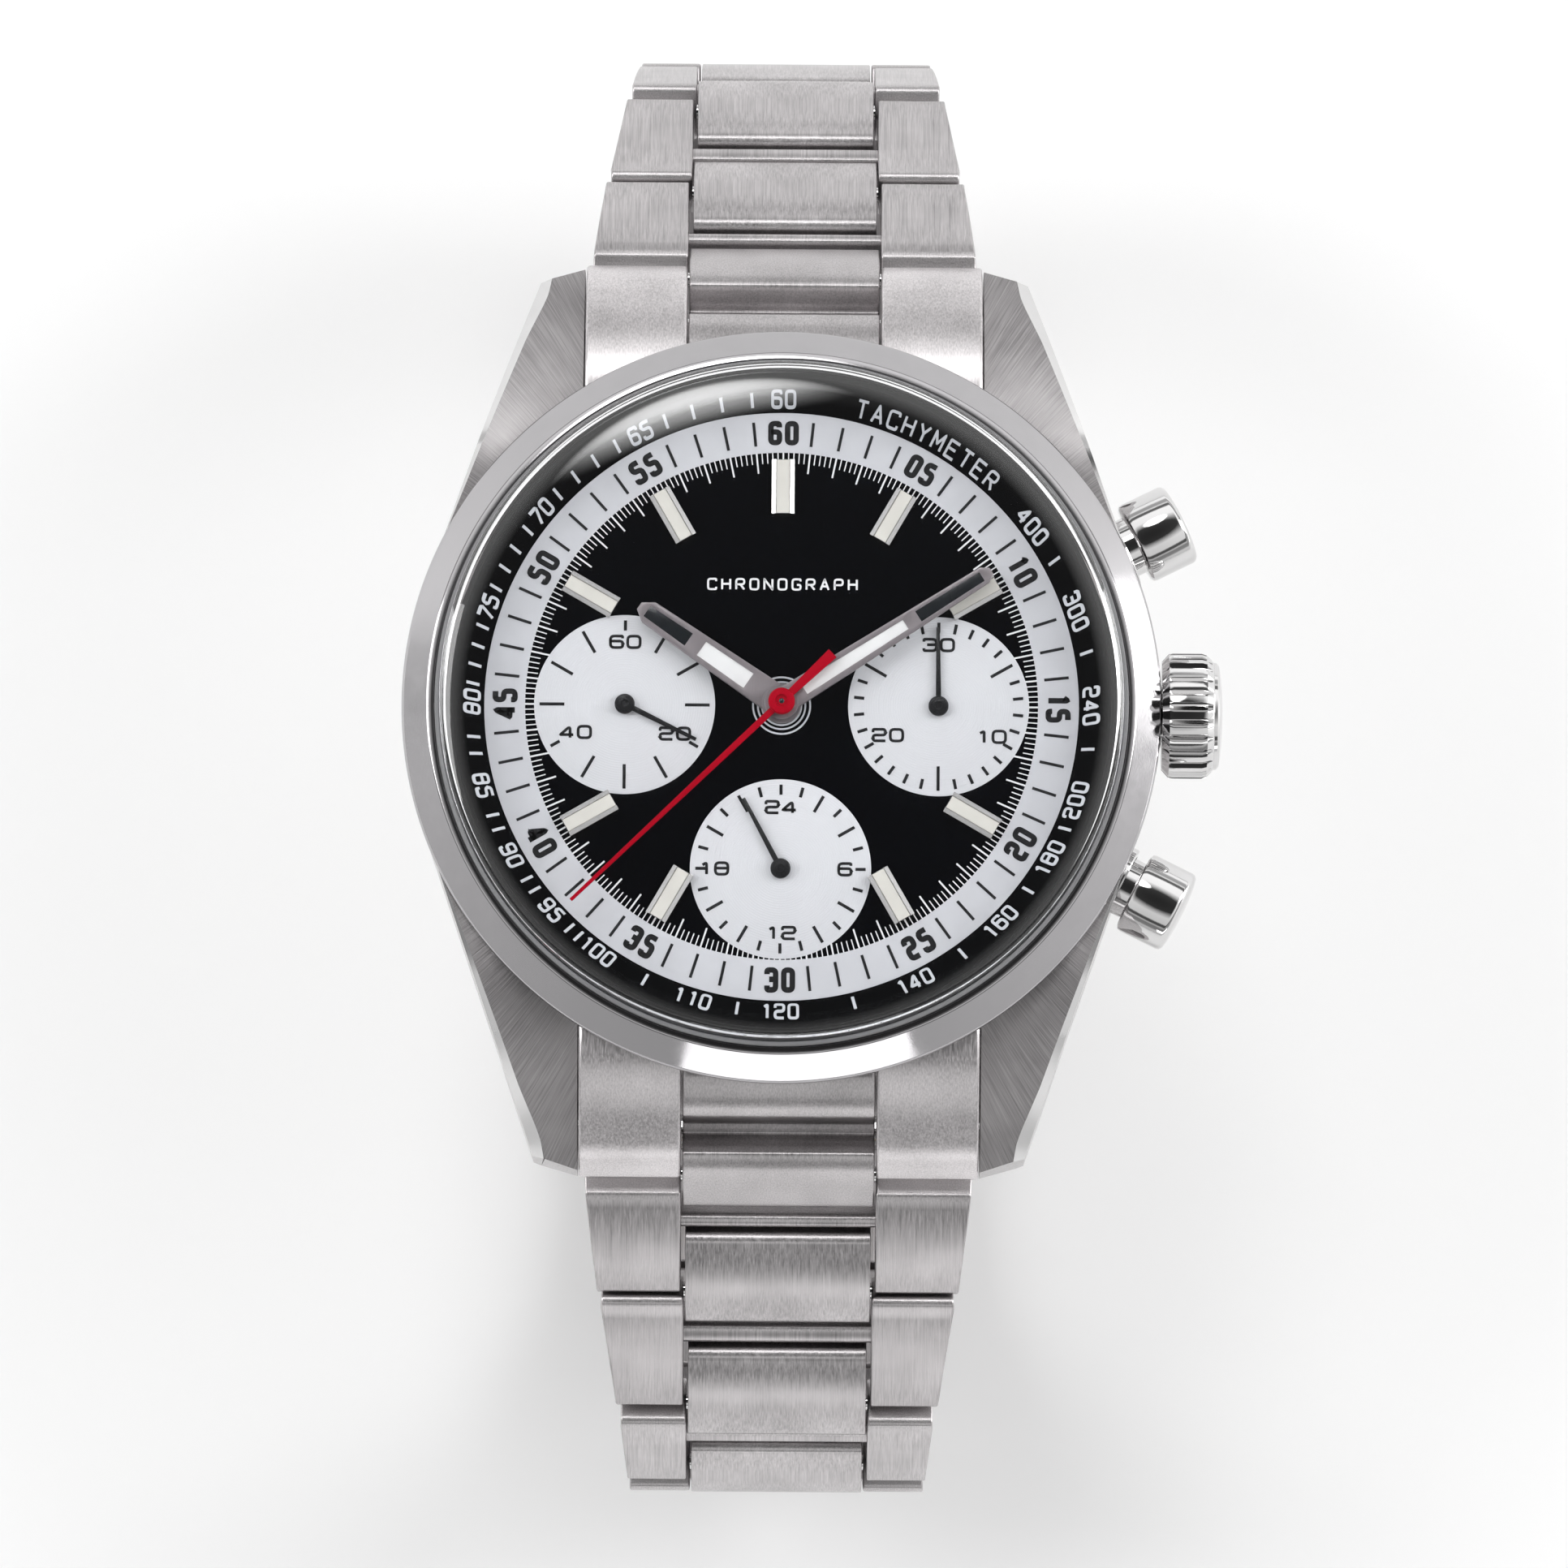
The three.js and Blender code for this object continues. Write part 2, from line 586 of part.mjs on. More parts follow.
// End link, in the frame of the dial's top face, for the 12 o'clock side.
function endLink() {
  const half = LUG_GAP / 2 - 0.1;
  const { y, z } = FIRST_HINGE;
  const slope = degrees(LINK_SLOPES[0]);
  // a place given along and out from the first link's own hinge line
  const onLink = (along, out) => [
    y + along * Math.cos(slope) + out * Math.sin(slope),
    z - along * Math.sin(slope) + out * Math.cos(slope),
  ];
  const shoulder = [
    [16.4, -0.35], [16.4, -6.4], onLink(-1.0, -1.6), onLink(-1.0, 1.2), onLink(-1.3, 1.55),
    [22.1, -3.0], [20.6, -1.85], [19.0, -0.95], [17.6, -0.45],
  ];
  const middle = [
    [16.4, -0.75], [16.4, -6.4], onLink(-1.2, -1.5), onLink(-0.65, -1.5),
    ...arc(NOSE_R, -75, 60, 4).map(([along, out]) => onLink(along, out)),
    onLink(-1.0, 1.5), onLink(-2.0, 1.62), onLink(-2.5, 1.45), onLink(-2.75, 0.9),
    [20.75, -3.3], [20.35, -3.1], [20.35, -2.0], [18.6, -1.1],
  ];
  const parts = join(
    profileAlongX(shoulder, END_TONGUE_HALF + SIDE_GAP, half),
    profileAlongX(shoulder, -half, -END_TONGUE_HALF - SIDE_GAP),
    profileAlongX(middle, -END_TONGUE_HALF, END_TONGUE_HALF),
    box(-half + 0.5, half - 0.5, 17, 20.2, -6.2, -2.2),
  );
  return cut(
    parts,
    disc(17.95, -9, 2),
    barAlongX(0.9, -half - 1, half + 1, SPRING_BAR.y, SPRING_BAR.z),
    barAlongX(PIN_BORE_R, -END_TONGUE_HALF - 0.05, END_TONGUE_HALF + 0.05, y, z),
  );
}

// One side of the bracelet as nested groups, each hinged on the one before.
function braceletSide(name, clearTongue) {
  let parent = new THREE.Group();
  const side = parent;
  parent.position.set(0, FIRST_HINGE.y, FIRST_HINGE.z);
  parent.rotation.x = -degrees(LINK_SLOPES[0]);
  LINK_SLOPES.forEach((slope, index) => {
    const last = index === LINK_SLOPES.length - 1;
    parent.add(mesh(`${name}_${index + 1}`, linkRow(index, clearTongue && last), brushedSteel));
    if (last) return;
    const next = new THREE.Group();
    next.position.y = PITCH;
    next.rotation.x = -degrees(LINK_SLOPES[index + 1] - slope);
    parent.add(next);
    parent = next;
  });
  return side;
}

// ---------------------------------------------------------------- clasp
const CLASP = { half: 8.5, wall: 0.9, end: 16.3, hingeY: 14.2, coverPinZ: 1.9, bladePinZ: 2.55 };
const BLADE_HALF = 5.5;
const EAR_HALF = 7.2;
const BUTTON = { y0: -10.0, y1: -6.6, z0: 1.5, z1: 2.7 };

function claspCover() {
  const { half, wall, end, hingeY, coverPinZ } = CLASP;
  const floor = [
    [-10, 0], [10, 0], [end, 0.45], [end, 1.15], [10, 0.95], [-10, 0.95], [-end, 1.15], [-end, 0.45],
  ];
  const side = [
    [-10, 0], [10, 0], [end, 0.45], [end, 2.9], [14.4, 3.5], [-14.4, 3.6],
    ...arc(1.25, 60, 240, 5, -CLASP_PIN_Y, CLASP_PIN_Z), [-end, 0.45],
  ];
  const ear = arc(0.9, 0, 180, 5, hingeY, coverPinZ).concat([[hingeY - 0.9, 0.6], [hingeY + 0.9, 0.6]]);
  const walls = [1, -1].map((s) =>
    profileAlongX(side, s > 0 ? half - wall : -half, s > 0 ? half : -half + wall),
  );
  const ears = [1, -1].map((s) =>
    profileAlongX(ear, s > 0 ? BLADE_HALF + 0.15 : -EAR_HALF, s > 0 ? EAR_HALF : -BLADE_HALF - 0.15),
  );
  const pin = barAlongX(0.4, -BLADE_HALF - 0.5, BLADE_HALF + 0.5, hingeY, coverPinZ);
  const { y0, y1, z0, z1 } = BUTTON;
  const slots = box(-half - 1, half + 1, y0 - 0.12, y1 + 0.12, z0 - 0.12, z1 + 0.12);
  const barHoles = barAlongX(0.55, -half - 1, half + 1, -CLASP_PIN_Y, CLASP_PIN_Z);
  return cut(join(profileAlongX(floor, -half + 0.1, half - 0.1), ...walls, ...ears, pin), slots, barHoles);
}

function claspSpringBar() {
  const { half, wall } = CLASP;
  const y = -CLASP_PIN_Y;
  return join(
    barAlongX(0.7, -half + wall + 0.08, half - wall - 0.08, y, CLASP_PIN_Z),
    barAlongX(0.45, -half + 0.1, half - 0.1, y, CLASP_PIN_Z),
  );
}

function claspBladeOuter() {
  const { hingeY, coverPinZ, bladePinZ } = CLASP;
  const knuckleR = 0.62;
  const strap = [
    [-hingeY, bladePinZ - 0.4], [-hingeY + 2, 1.4], [hingeY - 1, 1.3], [hingeY, coverPinZ - 0.4],
    [hingeY, coverPinZ + 0.4], [hingeY - 1.5, 2.1], [-hingeY + 2, 2.2], [-hingeY, bladePinZ + 0.4],
  ];
  return cut(
    join(
      profileAlongX(strap, -BLADE_HALF, BLADE_HALF),
      barAlongX(knuckleR, -BLADE_HALF, BLADE_HALF, hingeY, coverPinZ),
      barAlongX(knuckleR, -BLADE_HALF, BLADE_HALF, -hingeY, bladePinZ),
    ),
    barAlongX(0.48, -20, 20, hingeY, coverPinZ),
    barAlongX(0.48, -20, 20, -hingeY, bladePinZ),
  );
}

function claspBladeInner() {
  const { hingeY, bladePinZ } = CLASP;
  const pinY = CLASP_PIN_Y;
  const strap = [[-hingeY - 0.4, 3.35], [pinY - 1.6, 3.35], [pinY - 1.6, 4.1], [-hingeY - 0.4, 4.1]];
  const knuckleR = 0.62;
  const rear = [
    ...arc(knuckleR, 180, 360, 5, -hingeY, bladePinZ),
    [-hingeY + knuckleR, 3.7], [-hingeY - knuckleR, 3.7],
  ];
  const front = [
    ...arc(0.85, -120, 60, 5, pinY, CLASP_PIN_Z),
    [pinY - 1.0, 4.1], [pinY - 2.4, 4.1], [pinY - 2.4, 3.4],
  ];
  const inner = LINK_WIDTHS.at(-1)[2] + SIDE_GAP;
  const pair = (outline, from, to) => [
    profileAlongX(outline, from, to),
    profileAlongX(outline, -to, -from),
  ];
  return join(
    profileAlongX(strap, -EAR_HALF, EAR_HALF),
    ...pair(rear, BLADE_HALF + 0.15, EAR_HALF),
    ...pair(front, inner, EAR_HALF),
    barAlongX(0.4, -BLADE_HALF - 0.5, BLADE_HALF + 0.5, -hingeY, bladePinZ),
    barAlongX(PIN_R, -inner - 0.3, inner + 0.3, pinY, CLASP_PIN_Z),
  );
}

// Push piece on the +X side; the other one is its half turn mirror.
function claspButton(side) {
  const { y0, y1, z0, z1 } = BUTTON;
  const { half, wall } = CLASP;
  const pad = box(half - wall - 0.3, half + 0.6, y0, y1, z0, z1);
  const flange = box(half - wall - 0.7, half - wall - 0.1, y0 - 0.5, y1 + 0.5, z0 - 0.2, z1 + 0.2);
  const made = join(pad, flange);
  return side > 0 ? made : made.mirror([1, 0, 0]);
}

// ---------------------------------------------------------------- assembly
const watch = new THREE.Group();
const head = new THREE.Group();
head.position.z = DIAL_Z;
watch.add(head);

const atNine = [-SUBDIAL_X, 0];
const atThree = [SUBDIAL_X, 0];
const atSix = [0, -SUBDIAL_Y];

head.add(
  mesh("case_middle", caseMiddle(), brushedSteel),
  mesh("bezel", bezel(), polishedSteel),
  mesh("crystal", crystal(), mineralGlass),
  mesh("crystal_gasket", ring(17.04, 17.44, 0.6, 1.85), gasketWhite),
  mesh("tachymeter_ring", tachymeterRing(), blackPaint),
  mesh("dial", dial(), blackLacquer),
  mesh("hour_hand", hourHand(), brushedSteel),
  mesh("minute_hand", minuteHand(), brushedSteel),
  mesh("chronograph_seconds_hand", chronographHand(), redPaint),
  mesh("small_seconds_hand", smallHand(116.3, ...atNine, -2.55), blackPaint),
  mesh("minute_counter_hand", smallHand(0, ...atThree, -5.9), blackPaint),
  mesh("hour_24_hand", smallHand(332, ...atSix, -2.3), blackPaint),
  mesh("crown", crown(), polishedSteel),
  mesh("winding_stem", windingStem(), polishedSteel),
  mesh("setting_lever", settingLever(), polishedSteel),
  mesh("pusher_start", pusher(1), polishedSteel),
  mesh("pusher_reset", pusher(-1), polishedSteel),
  mesh("caseback", caseback(), brushedSteel),
  mesh("caseback_crystal", disc(12.5, -8.5, -7.55), mineralGlass),
  mesh("movement_holder", ring(15.35, 16.45, -5.6, -3.8).intersect(disc(17, -9, 0)), gasketWhite),
  mesh("main_plate", mainPlate(), plateSteel),
  mesh("train_bridge", trainBridge(), plateSteel),
  mesh("balance_cock", balanceCock(), plateSteel),
);

head.add(
  mesh("barrel", at(barrel(), WHEELS.barrel), brass),
  mesh("ratchet_wheel", at(wheel(32, 4.0, -5.5, -5.25), WHEELS.barrel), plateSteel),
  mesh("crown_wheel", at(wheel(26, 2.6, -5.5, -5.25), WHEELS.crownWheel), plateSteel),
  mesh("centre_wheel", centreWheel(), brass),
  mesh("third_wheel", at(thirdWheel(), WHEELS.third), brass),
  mesh("fourth_wheel", fourthWheel().translate([...atNine, 0]), brass),
  mesh("escape_wheel", at(escapeWheel(), WHEELS.escape), plateSteel),
  mesh("pallet_fork", palletFork(), plateSteel),
  mesh("balance_wheel", balanceWheel(), brass),
  mesh("chronograph_wheel", wheel(36, 4.0, -6.2, -6.0, 4), brass),
  mesh("minute_counter_wheel", wheel(30, 3.4, -6.2, -6.0, 4).translate([...atThree, 0]), brass),
  mesh("column_wheel", columnWheel(), plateSteel),
);

for (const [hour, turn, clearTongue] of [["12", 0, false], ["6", Math.PI, true]]) {
  const half = new THREE.Group();
  half.rotation.z = turn;
  const { y, z, radius } = SPRING_BAR;
  half.add(
    mesh(`end_link_${hour}`, endLink(), brushedSteel),
    mesh(`spring_bar_${hour}`, barAlongX(radius, -11, 11, y, z), polishedSteel),
    braceletSide(`link_${hour}`, clearTongue),
  );
  head.add(half);
}

watch.add(
  mesh("clasp_cover", claspCover(), brushedSteel),
  mesh("clasp_blade_outer", claspBladeOuter(), polishedSteel),
  mesh("clasp_blade_inner", claspBladeInner(), polishedSteel),
  mesh("clasp_spring_bar", claspSpringBar(), polishedSteel),
  mesh("clasp_button_right", claspButton(1), polishedSteel),
  mesh("clasp_button_left", claspButton(-1), polishedSteel),
);

export default watch;
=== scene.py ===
"""Looks of the chronograph wristwatch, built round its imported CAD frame.

Lengths are millimetres until an object is made. Every piece of the head is modelled from the
middle of the dial's top face, and every bracelet row from its own hinge.
"""
import json
import math

import bmesh
import bpy
from mathutils import Matrix, Vector

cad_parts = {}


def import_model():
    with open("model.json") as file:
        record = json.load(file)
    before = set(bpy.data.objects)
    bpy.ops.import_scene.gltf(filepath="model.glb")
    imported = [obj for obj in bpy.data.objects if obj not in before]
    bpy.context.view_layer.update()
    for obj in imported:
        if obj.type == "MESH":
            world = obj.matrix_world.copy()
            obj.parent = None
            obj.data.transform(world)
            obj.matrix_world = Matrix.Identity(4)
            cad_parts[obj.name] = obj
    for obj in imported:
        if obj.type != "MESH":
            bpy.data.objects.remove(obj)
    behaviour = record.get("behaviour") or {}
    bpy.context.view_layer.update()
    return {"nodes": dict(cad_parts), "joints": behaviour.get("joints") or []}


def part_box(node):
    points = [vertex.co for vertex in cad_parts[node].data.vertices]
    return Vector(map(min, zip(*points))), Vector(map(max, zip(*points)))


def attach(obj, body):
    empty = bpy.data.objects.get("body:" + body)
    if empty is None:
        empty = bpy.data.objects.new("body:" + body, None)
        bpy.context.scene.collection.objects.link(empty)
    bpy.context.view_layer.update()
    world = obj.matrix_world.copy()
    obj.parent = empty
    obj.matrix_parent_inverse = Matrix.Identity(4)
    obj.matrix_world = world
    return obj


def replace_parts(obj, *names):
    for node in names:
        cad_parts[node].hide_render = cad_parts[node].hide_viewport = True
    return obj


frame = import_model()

MM = 0.001
WELD = 1e-5  # points nearer than this are joined
joints = {j["name"]: j for j in frame["joints"]}
DIAL_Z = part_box("dial")[0].z / MM + 0.4
HEAD = Matrix.Translation((0, 0, DIAL_Z * MM))


# ------------------------------------------------------------------ materials
MIX_COLOUR_INPUTS, MIX_COLOUR_OUTPUT = (0, 6, 7), 2  # sockets of the Mix node when it mixes colours


class Shader:
    """A material's node tree with short ways to add and join nodes."""

    def __init__(self, name):
        self.material = bpy.data.materials.new(name)
        self.material.use_nodes = True
        self.tree = self.material.node_tree
        self.tree.nodes.clear()
        self.output = self.add("OutputMaterial")
        self.bsdf = self.add("BsdfPrincipled")
        self.link(self.bsdf.outputs[0], self.output.inputs[0])

    def add(self, kind, **settings):
        node = self.tree.nodes.new("ShaderNode" + kind)
        for key, value in settings.items():
            setattr(node, key, value)
        return node

    def link(self, source, target):
        self.tree.links.new(source, target)

    def feed(self, socket, value):
        """Links an output to an input, or sets the input to a constant."""
        if isinstance(value, bpy.types.NodeSocket):
            self.link(value, socket)
        else:
            socket.default_value = value

    def put(self, node, **values):
        for key, value in values.items():
            self.feed(node.inputs[key.replace("_", " ")], value)
        return node

    def set(self, **values):
        self.put(self.bsdf, **values)

    def first(self, node, *values):
        for socket, value in zip(node.inputs, values):
            self.feed(socket, value)
        return node.outputs[0]

    def math(self, operation, *values):
        return self.first(self.add("Math", operation=operation), *values)

    def plus(self, a, b):
        return self.math("ADD", a, b)

    def times(self, a, b):
        return self.math("MULTIPLY", a, b)

    def length(self, x, y):
        return self.math("SQRT", self.plus(self.times(x, x), self.times(y, y)))

    def vector(self, x, y, z):
        return self.first(self.add("CombineXYZ"), x, y, z)

    def place(self):
        """Object coordinates in millimetres, as a vector and as its three parts."""
        scaled = self.put(self.add("VectorMath", operation="SCALE"), Scale=1 / MM)
        whole = self.first(scaled, self.add("TexCoord").outputs["Object"])
        parts = self.add("SeparateXYZ")
        self.first(parts, whole)
        return whole, parts.outputs

    def noise(self, vector, scale=1, detail=3, rough=0.6):
        node = self.put(self.add("TexNoise"), Vector=vector, Scale=scale, Detail=detail, Roughness=rough)
        return node.outputs["Fac"]

    def spread(self, value, low, high, start=0.3, end=0.7):
        node = self.add("MapRange")
        return self.put(node, Value=value, From_Min=start, From_Max=end, To_Min=low, To_Max=high).outputs[0]

    def tint(self, factor, colour_a, colour_b):
        node = self.add("Mix", data_type="RGBA")
        for place, value in zip(MIX_COLOUR_INPUTS, (factor, (*colour_a, 1), (*colour_b, 1))):
            self.feed(node.inputs[place], value)
        return node.outputs[MIX_COLOUR_OUTPUT]

    def bump(self, height, distance):
        node = self.put(self.add("Bump"), Strength=1, Distance=distance * MM, Height=height)
        self.set(Normal=node.outputs[0])

    def colour(self, factor, colour, low, high):
        """Base colour that varies between two strengths of one colour."""
        self.set(Base_Color=self.tint(factor, shade(colour, low), shade(colour, high)))

    def rough(self, value, low, high):
        self.set(Roughness=self.spread(value, low, high))


def shade(colour, amount):
    return tuple(min(1, c * amount) for c in colour)


SUNBURST_RADIUS, CIRCULAR_RADIUS = 19, 10  # where streaks have their stated width and run


def streak_place(shader, direction, width, run):
    """Coordinates that are fine across the brushing and long along it."""
    whole, (x, y, z) = shader.place()
    fine, long = 1 / width, 1 / run
    if direction in "xyz":
        scale = [long if axis == direction else fine for axis in "xyz"]
        return whole, shader.first(shader.add("VectorMath", operation="MULTIPLY"), whole, scale)
    angle = shader.math("ARCTAN2", y, x)
    radius = shader.length(x, y)
    if direction == "sunburst":
        across = shader.times(angle, SUNBURST_RADIUS * fine)
        return whole, shader.vector(across, shader.times(radius, long), 0)
    around = shader.times(angle, CIRCULAR_RADIUS * long)
    return whole, shader.vector(around, shader.times(radius, fine), shader.times(z, fine))


def brushed(
    name, colour, direction, rough=0.3, width=0.07, run=5, depth=0.004, contrast=0.14, anisotropy=0.6
):
    """Metal with fine parallel, sunburst or circular brushing."""
    s = Shader(name)
    whole, stretched = streak_place(s, direction, width, run)
    streaks = s.noise(stretched, 1, 4, 0.65)
    clouds = s.noise(whole, 0.35, 2)
    mixed = s.plus(s.times(streaks, 0.75), s.times(clouds, 0.25))
    s.colour(s.spread(mixed, 0, 1), colour, 1 - contrast, 1 + contrast * 0.6)
    s.rough(streaks, rough - 0.07, rough + 0.09)
    s.set(Metallic=1, Anisotropic=anisotropy)
    if anisotropy:
        tangent = s.add("Tangent", direction_type="RADIAL", axis="Z").outputs[0]
        s.set(Tangent=s.vector(1, 0, 0) if direction == "y" else tangent)
    s.bump(streaks, depth)
    return s.material


def polished(name, colour, rough=0.06):
    """Mirror polish with faint wiping marks and pinpoint haze."""
    s = Shader(name)
    whole, _ = s.place()
    haze = s.noise(whole, 0.6, 5)
    marks = s.noise(whole, 9, 2)
    s.colour(s.spread(haze, 0, 1), colour, 0.97, 1.03)
    s.rough(haze, rough * 0.7, rough * 1.5)
    s.set(Metallic=1)
    s.bump(marks, 0.0006)
    return s.material


def painted(name, colour, rough=0.35, grain=0.03, depth=0.002, coat=0, gloss=0.5, vary=0.04):
    """Print, lacquer or moulded plastic with a fine grain."""
    s = Shader(name)
    whole, _ = s.place()
    fine = s.noise(whole, 1 / grain, 3)
    clouds = s.noise(whole, 0.5, 3)
    s.colour(s.spread(clouds, 0, 1), colour, 1 - vary, 1 + vary)
    s.rough(fine, rough * 0.85, rough * 1.15)
    s.set(Coat_Weight=coat, Coat_Roughness=0.03, Specular_IOR_Level=gloss)
    s.bump(fine, depth)
    return s.material


def grooved(name, colour, pitch, depth, rough=0.35, metallic=0):
    """Fine turned grooves about the object's own axis, with painted shade darkening each groove's trough."""
    s = Shader(name)
    whole, (x, y, _) = s.place()
    radius = s.length(x, y)
    wave = s.math("SINE", s.times(radius, 2 * math.pi / pitch))
    grain = s.noise(whole, 25, 3)
    height = s.plus(s.times(wave, 0.5), s.times(grain, 0.3))
    # painted shade: the colour follows the groove wave, darker in the troughs
    s.colour(s.spread(wave, 0, 1, -1, 1), colour, 0.965, 1.01)
    s.rough(grain, rough - 0.05, rough + 0.05)
    s.set(Metallic=metallic)
    s.bump(height, depth)
    return s.material


def striped(name, colour, pitch=1.6):
    """Bridge metal with broad parallel stripes made of fine arcs, each stripe painted darker on its low side
    and lighter on its high side as painted light and shade.
    """
    s = Shader(name)
    whole, (x, y, _) = s.place()
    tilted = s.plus(s.times(x, 0.8), s.times(y, 0.6))
    saw = s.math("FRACT", s.times(tilted, 1 / pitch))
    arcs = s.math("SINE", s.times(s.plus(s.times(saw, 1.2), s.times(y, 9)), 2.2))
    grain = s.noise(whole, 12, 3)
    # painted light and shade: darker on each stripe's low side, lighter on its high side
    s.colour(s.spread(saw, 0, 1, 0, 1), colour, 0.82, 1.1)
    s.rough(grain, 0.2, 0.32)
    s.set(Metallic=1)
    s.bump(s.plus(saw, s.times(arcs, 0.12)), 0.03)
    return s.material


ANTI_REFLECTION = 0.08  # share of specular level left by the coating on both glasses; 0.5 is bare glass


def glass(name, tint, index, rough=0):
    """Clear glass that lets lamp light straight through to what is under it."""
    s = Shader(name)
    whole, _ = s.place()
    s.set(Base_Color=(*tint, 1), Transmission_Weight=1, IOR=index, Specular_IOR_Level=ANTI_REFLECTION)
    s.rough(s.noise(whole, 0.4, 3), rough, rough + 0.012)
    clear = s.first(s.add("BsdfTransparent"), (*shade(tint, 0.97), 1))
    shadow = s.add("LightPath").outputs["Is Shadow Ray"]
    s.link(s.first(s.add("MixShader"), shadow, s.bsdf.outputs[0], clear), s.output.inputs[0])
    return s.material


STEEL = (0.52, 0.50, 0.505)
BRIGHT = (0.66, 0.655, 0.655)
MAT = {
    "link": brushed("steel_brushed_along", STEEL, "y", 0.36, width=0.07, run=6, depth=0.006, contrast=0.4),
    # The end links' shoulders: the links' steel painted 1.35 times brighter, as painted light where they
    # catch more light
    "end": brushed(
        "steel_brushed_ends_painted_light", shade(STEEL, 1.35), "y", 0.36, width=0.07, run=6, depth=0.006, contrast=0.36
    ),
    # The lugs' tops: the case's steel painted 0.74 times as bright, as painted shade
    "lug": brushed(
        "steel_sunburst_painted_shade", shade(STEEL, 0.74), "sunburst", 0.42, width=0.06, run=4, depth=0.008, contrast=0.45
    ),
    "flank": brushed("steel_brushed_flank", STEEL, "y", 0.28, width=0.06, contrast=0.2),
    "turned": brushed("steel_circular", STEEL, "circular", 0.28, width=0.05, run=6),
    "bezel": polished("steel_bezel", (0.44, 0.43, 0.44), 0.08),
    "polish": polished("steel_polished", BRIGHT, 0.035),
    "marker": polished("steel_marker", (0.6, 0.59, 0.58), 0.12),
    "satin": brushed("hand_satin", (0.38, 0.345, 0.355), "y", 0.42, 0.03, 1.5, 0.001, anisotropy=0),
    "black_dial": painted(
        "dial_black_lacquer", (0.0006, 0.0008, 0.0016), 0.1, depth=0.0004, coat=0.05, gloss=0.06
    ),
    "rehaut": painted("rehaut_black", (0.0006, 0.0007, 0.0011), 0.5, depth=0.0003, gloss=0.01),
    "white_print": painted("print_white", (0.88, 0.88, 0.88), 0.45, depth=0.002),
    "grey_print": painted("print_pale_grey", (0.66, 0.68, 0.71), 0.45, depth=0.002),
    "black_print": painted("print_black", (0.004, 0.004, 0.005), 0.35, depth=0.002),
    "ring_white": painted("ring_white", (0.66, 0.665, 0.69), 0.42, depth=0.004),
    "subdial": grooved("subdial_white", (0.75, 0.755, 0.775), 0.12, 0.006),
    "lume": painted("lume_warm_white", (0.72, 0.7, 0.64), 0.55, grain=0.06, depth=0.012),
    "hand_lume": painted("hand_lume_white", (0.84, 0.84, 0.83), 0.55, grain=0.06, depth=0.01),
    "hand_black": painted("hand_window_black", (0.006, 0.008, 0.01), 0.25, coat=0.5),
    "red": painted("hand_red", (0.4, 0, 0.012), 0.35, gloss=0.05),
    "black_hand": painted("hand_black", (0.006, 0.006, 0.007), 0.3, coat=0.3),
    # Nylon painted dark grey, darker than the light gasket itself, as painted shade at the crystal's edge;
    # the movement holder shares it
    "gasket": painted("gasket_nylon_painted_shade", (0.2, 0.2, 0.205), 0.4, depth=0.004),
    "crystal": glass("crystal_sapphire", (0.985, 0.99, 1), 1.70),
    "mineral": glass("caseback_mineral", (0.97, 0.985, 0.98), 1.52),
    "bridge": striped("bridge_striped", (0.62, 0.61, 0.59)),
    "plate": grooved("plate_rhodium", (0.55, 0.54, 0.52), 0.3, 0.01, 0.3, 1),
    "gear_steel": brushed("gear_steel", (0.55, 0.55, 0.56), "circular", 0.24, width=0.04, run=3),
    "gilt": brushed("gilt_brass", (0.74, 0.50, 0.20), "circular", 0.26, width=0.05, run=3),
    "screw": polished("screw_blued", (0.03, 0.06, 0.28), 0.12),
    "ruby": painted("jewel_ruby", (0.45, 0.01, 0.06), 0.08, coat=1),
}


# ------------------------------------------------------------------ mesh making
def finish_piece(obj, material, body, matrix=HEAD, bevel=0, segments=2, sharp=32):
    """Gives a new mesh its place, material, rounded edges and body."""
    mesh = obj.data
    mesh.transform(Matrix.Scale(MM, 4))
    for name in [material] if isinstance(material, str) else material:
        mesh.materials.append(MAT[name])
    if bevel:
        rounding = obj.modifiers.new("rounding", "BEVEL")
        rounding.width = bevel * MM
        rounding.segments = segments
        rounding.limit_method = "ANGLE"
        rounding.angle_limit = math.radians(sharp)
        rounding.harden_normals = True
    for polygon in mesh.polygons:
        polygon.use_smooth = True
    mesh.set_sharp_from_angle(angle=math.radians(sharp))
    obj.matrix_world = matrix
    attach(obj, body)
    return obj


def in_scene(name, data):
    obj = bpy.data.objects.new(name, data)
    bpy.context.scene.collection.objects.link(obj)
    return obj


def with_clean_faces(mesh, weld=True):
    """Joins points that coincide and turns all faces outwards."""
    tidy = bmesh.new()
    tidy.from_mesh(mesh)
    if weld:
        bmesh.ops.remove_doubles(tidy, verts=tidy.verts, dist=WELD)
    bmesh.ops.recalc_face_normals(tidy, faces=tidy.faces)
    tidy.to_mesh(mesh)
    tidy.free()
    return mesh


def new_object(name, vertices, faces, face_materials=None, weld=True):
    mesh = bpy.data.meshes.new(name)
    mesh.from_pydata([Vector(v) for v in vertices], [], faces)
    if face_materials:
        mesh.polygons.foreach_set("material_index", face_materials)
    return in_scene(name, with_clean_faces(mesh, weld))


def loft(rings, close_ring=True, close_path=False, caps=True):
    """Vertices and faces of a skin through rings of equal length."""
    count = len(rings[0])
    vertices = [p for ring in rings for p in ring]
    faces = []
    steps = len(rings) if close_path else len(rings) - 1
    around = count if close_ring else count - 1
    for i in range(steps):
        a, b = i * count, ((i + 1) % len(rings)) * count
        for j in range(around):
            k = (j + 1) % count
            faces.append((a + j, a + k, b + k, b + j))
    if caps and not close_path:
        faces.append(tuple(range(count))[::-1])
        faces.append(tuple((len(rings) - 1) * count + j for j in range(count)))
    return vertices, faces


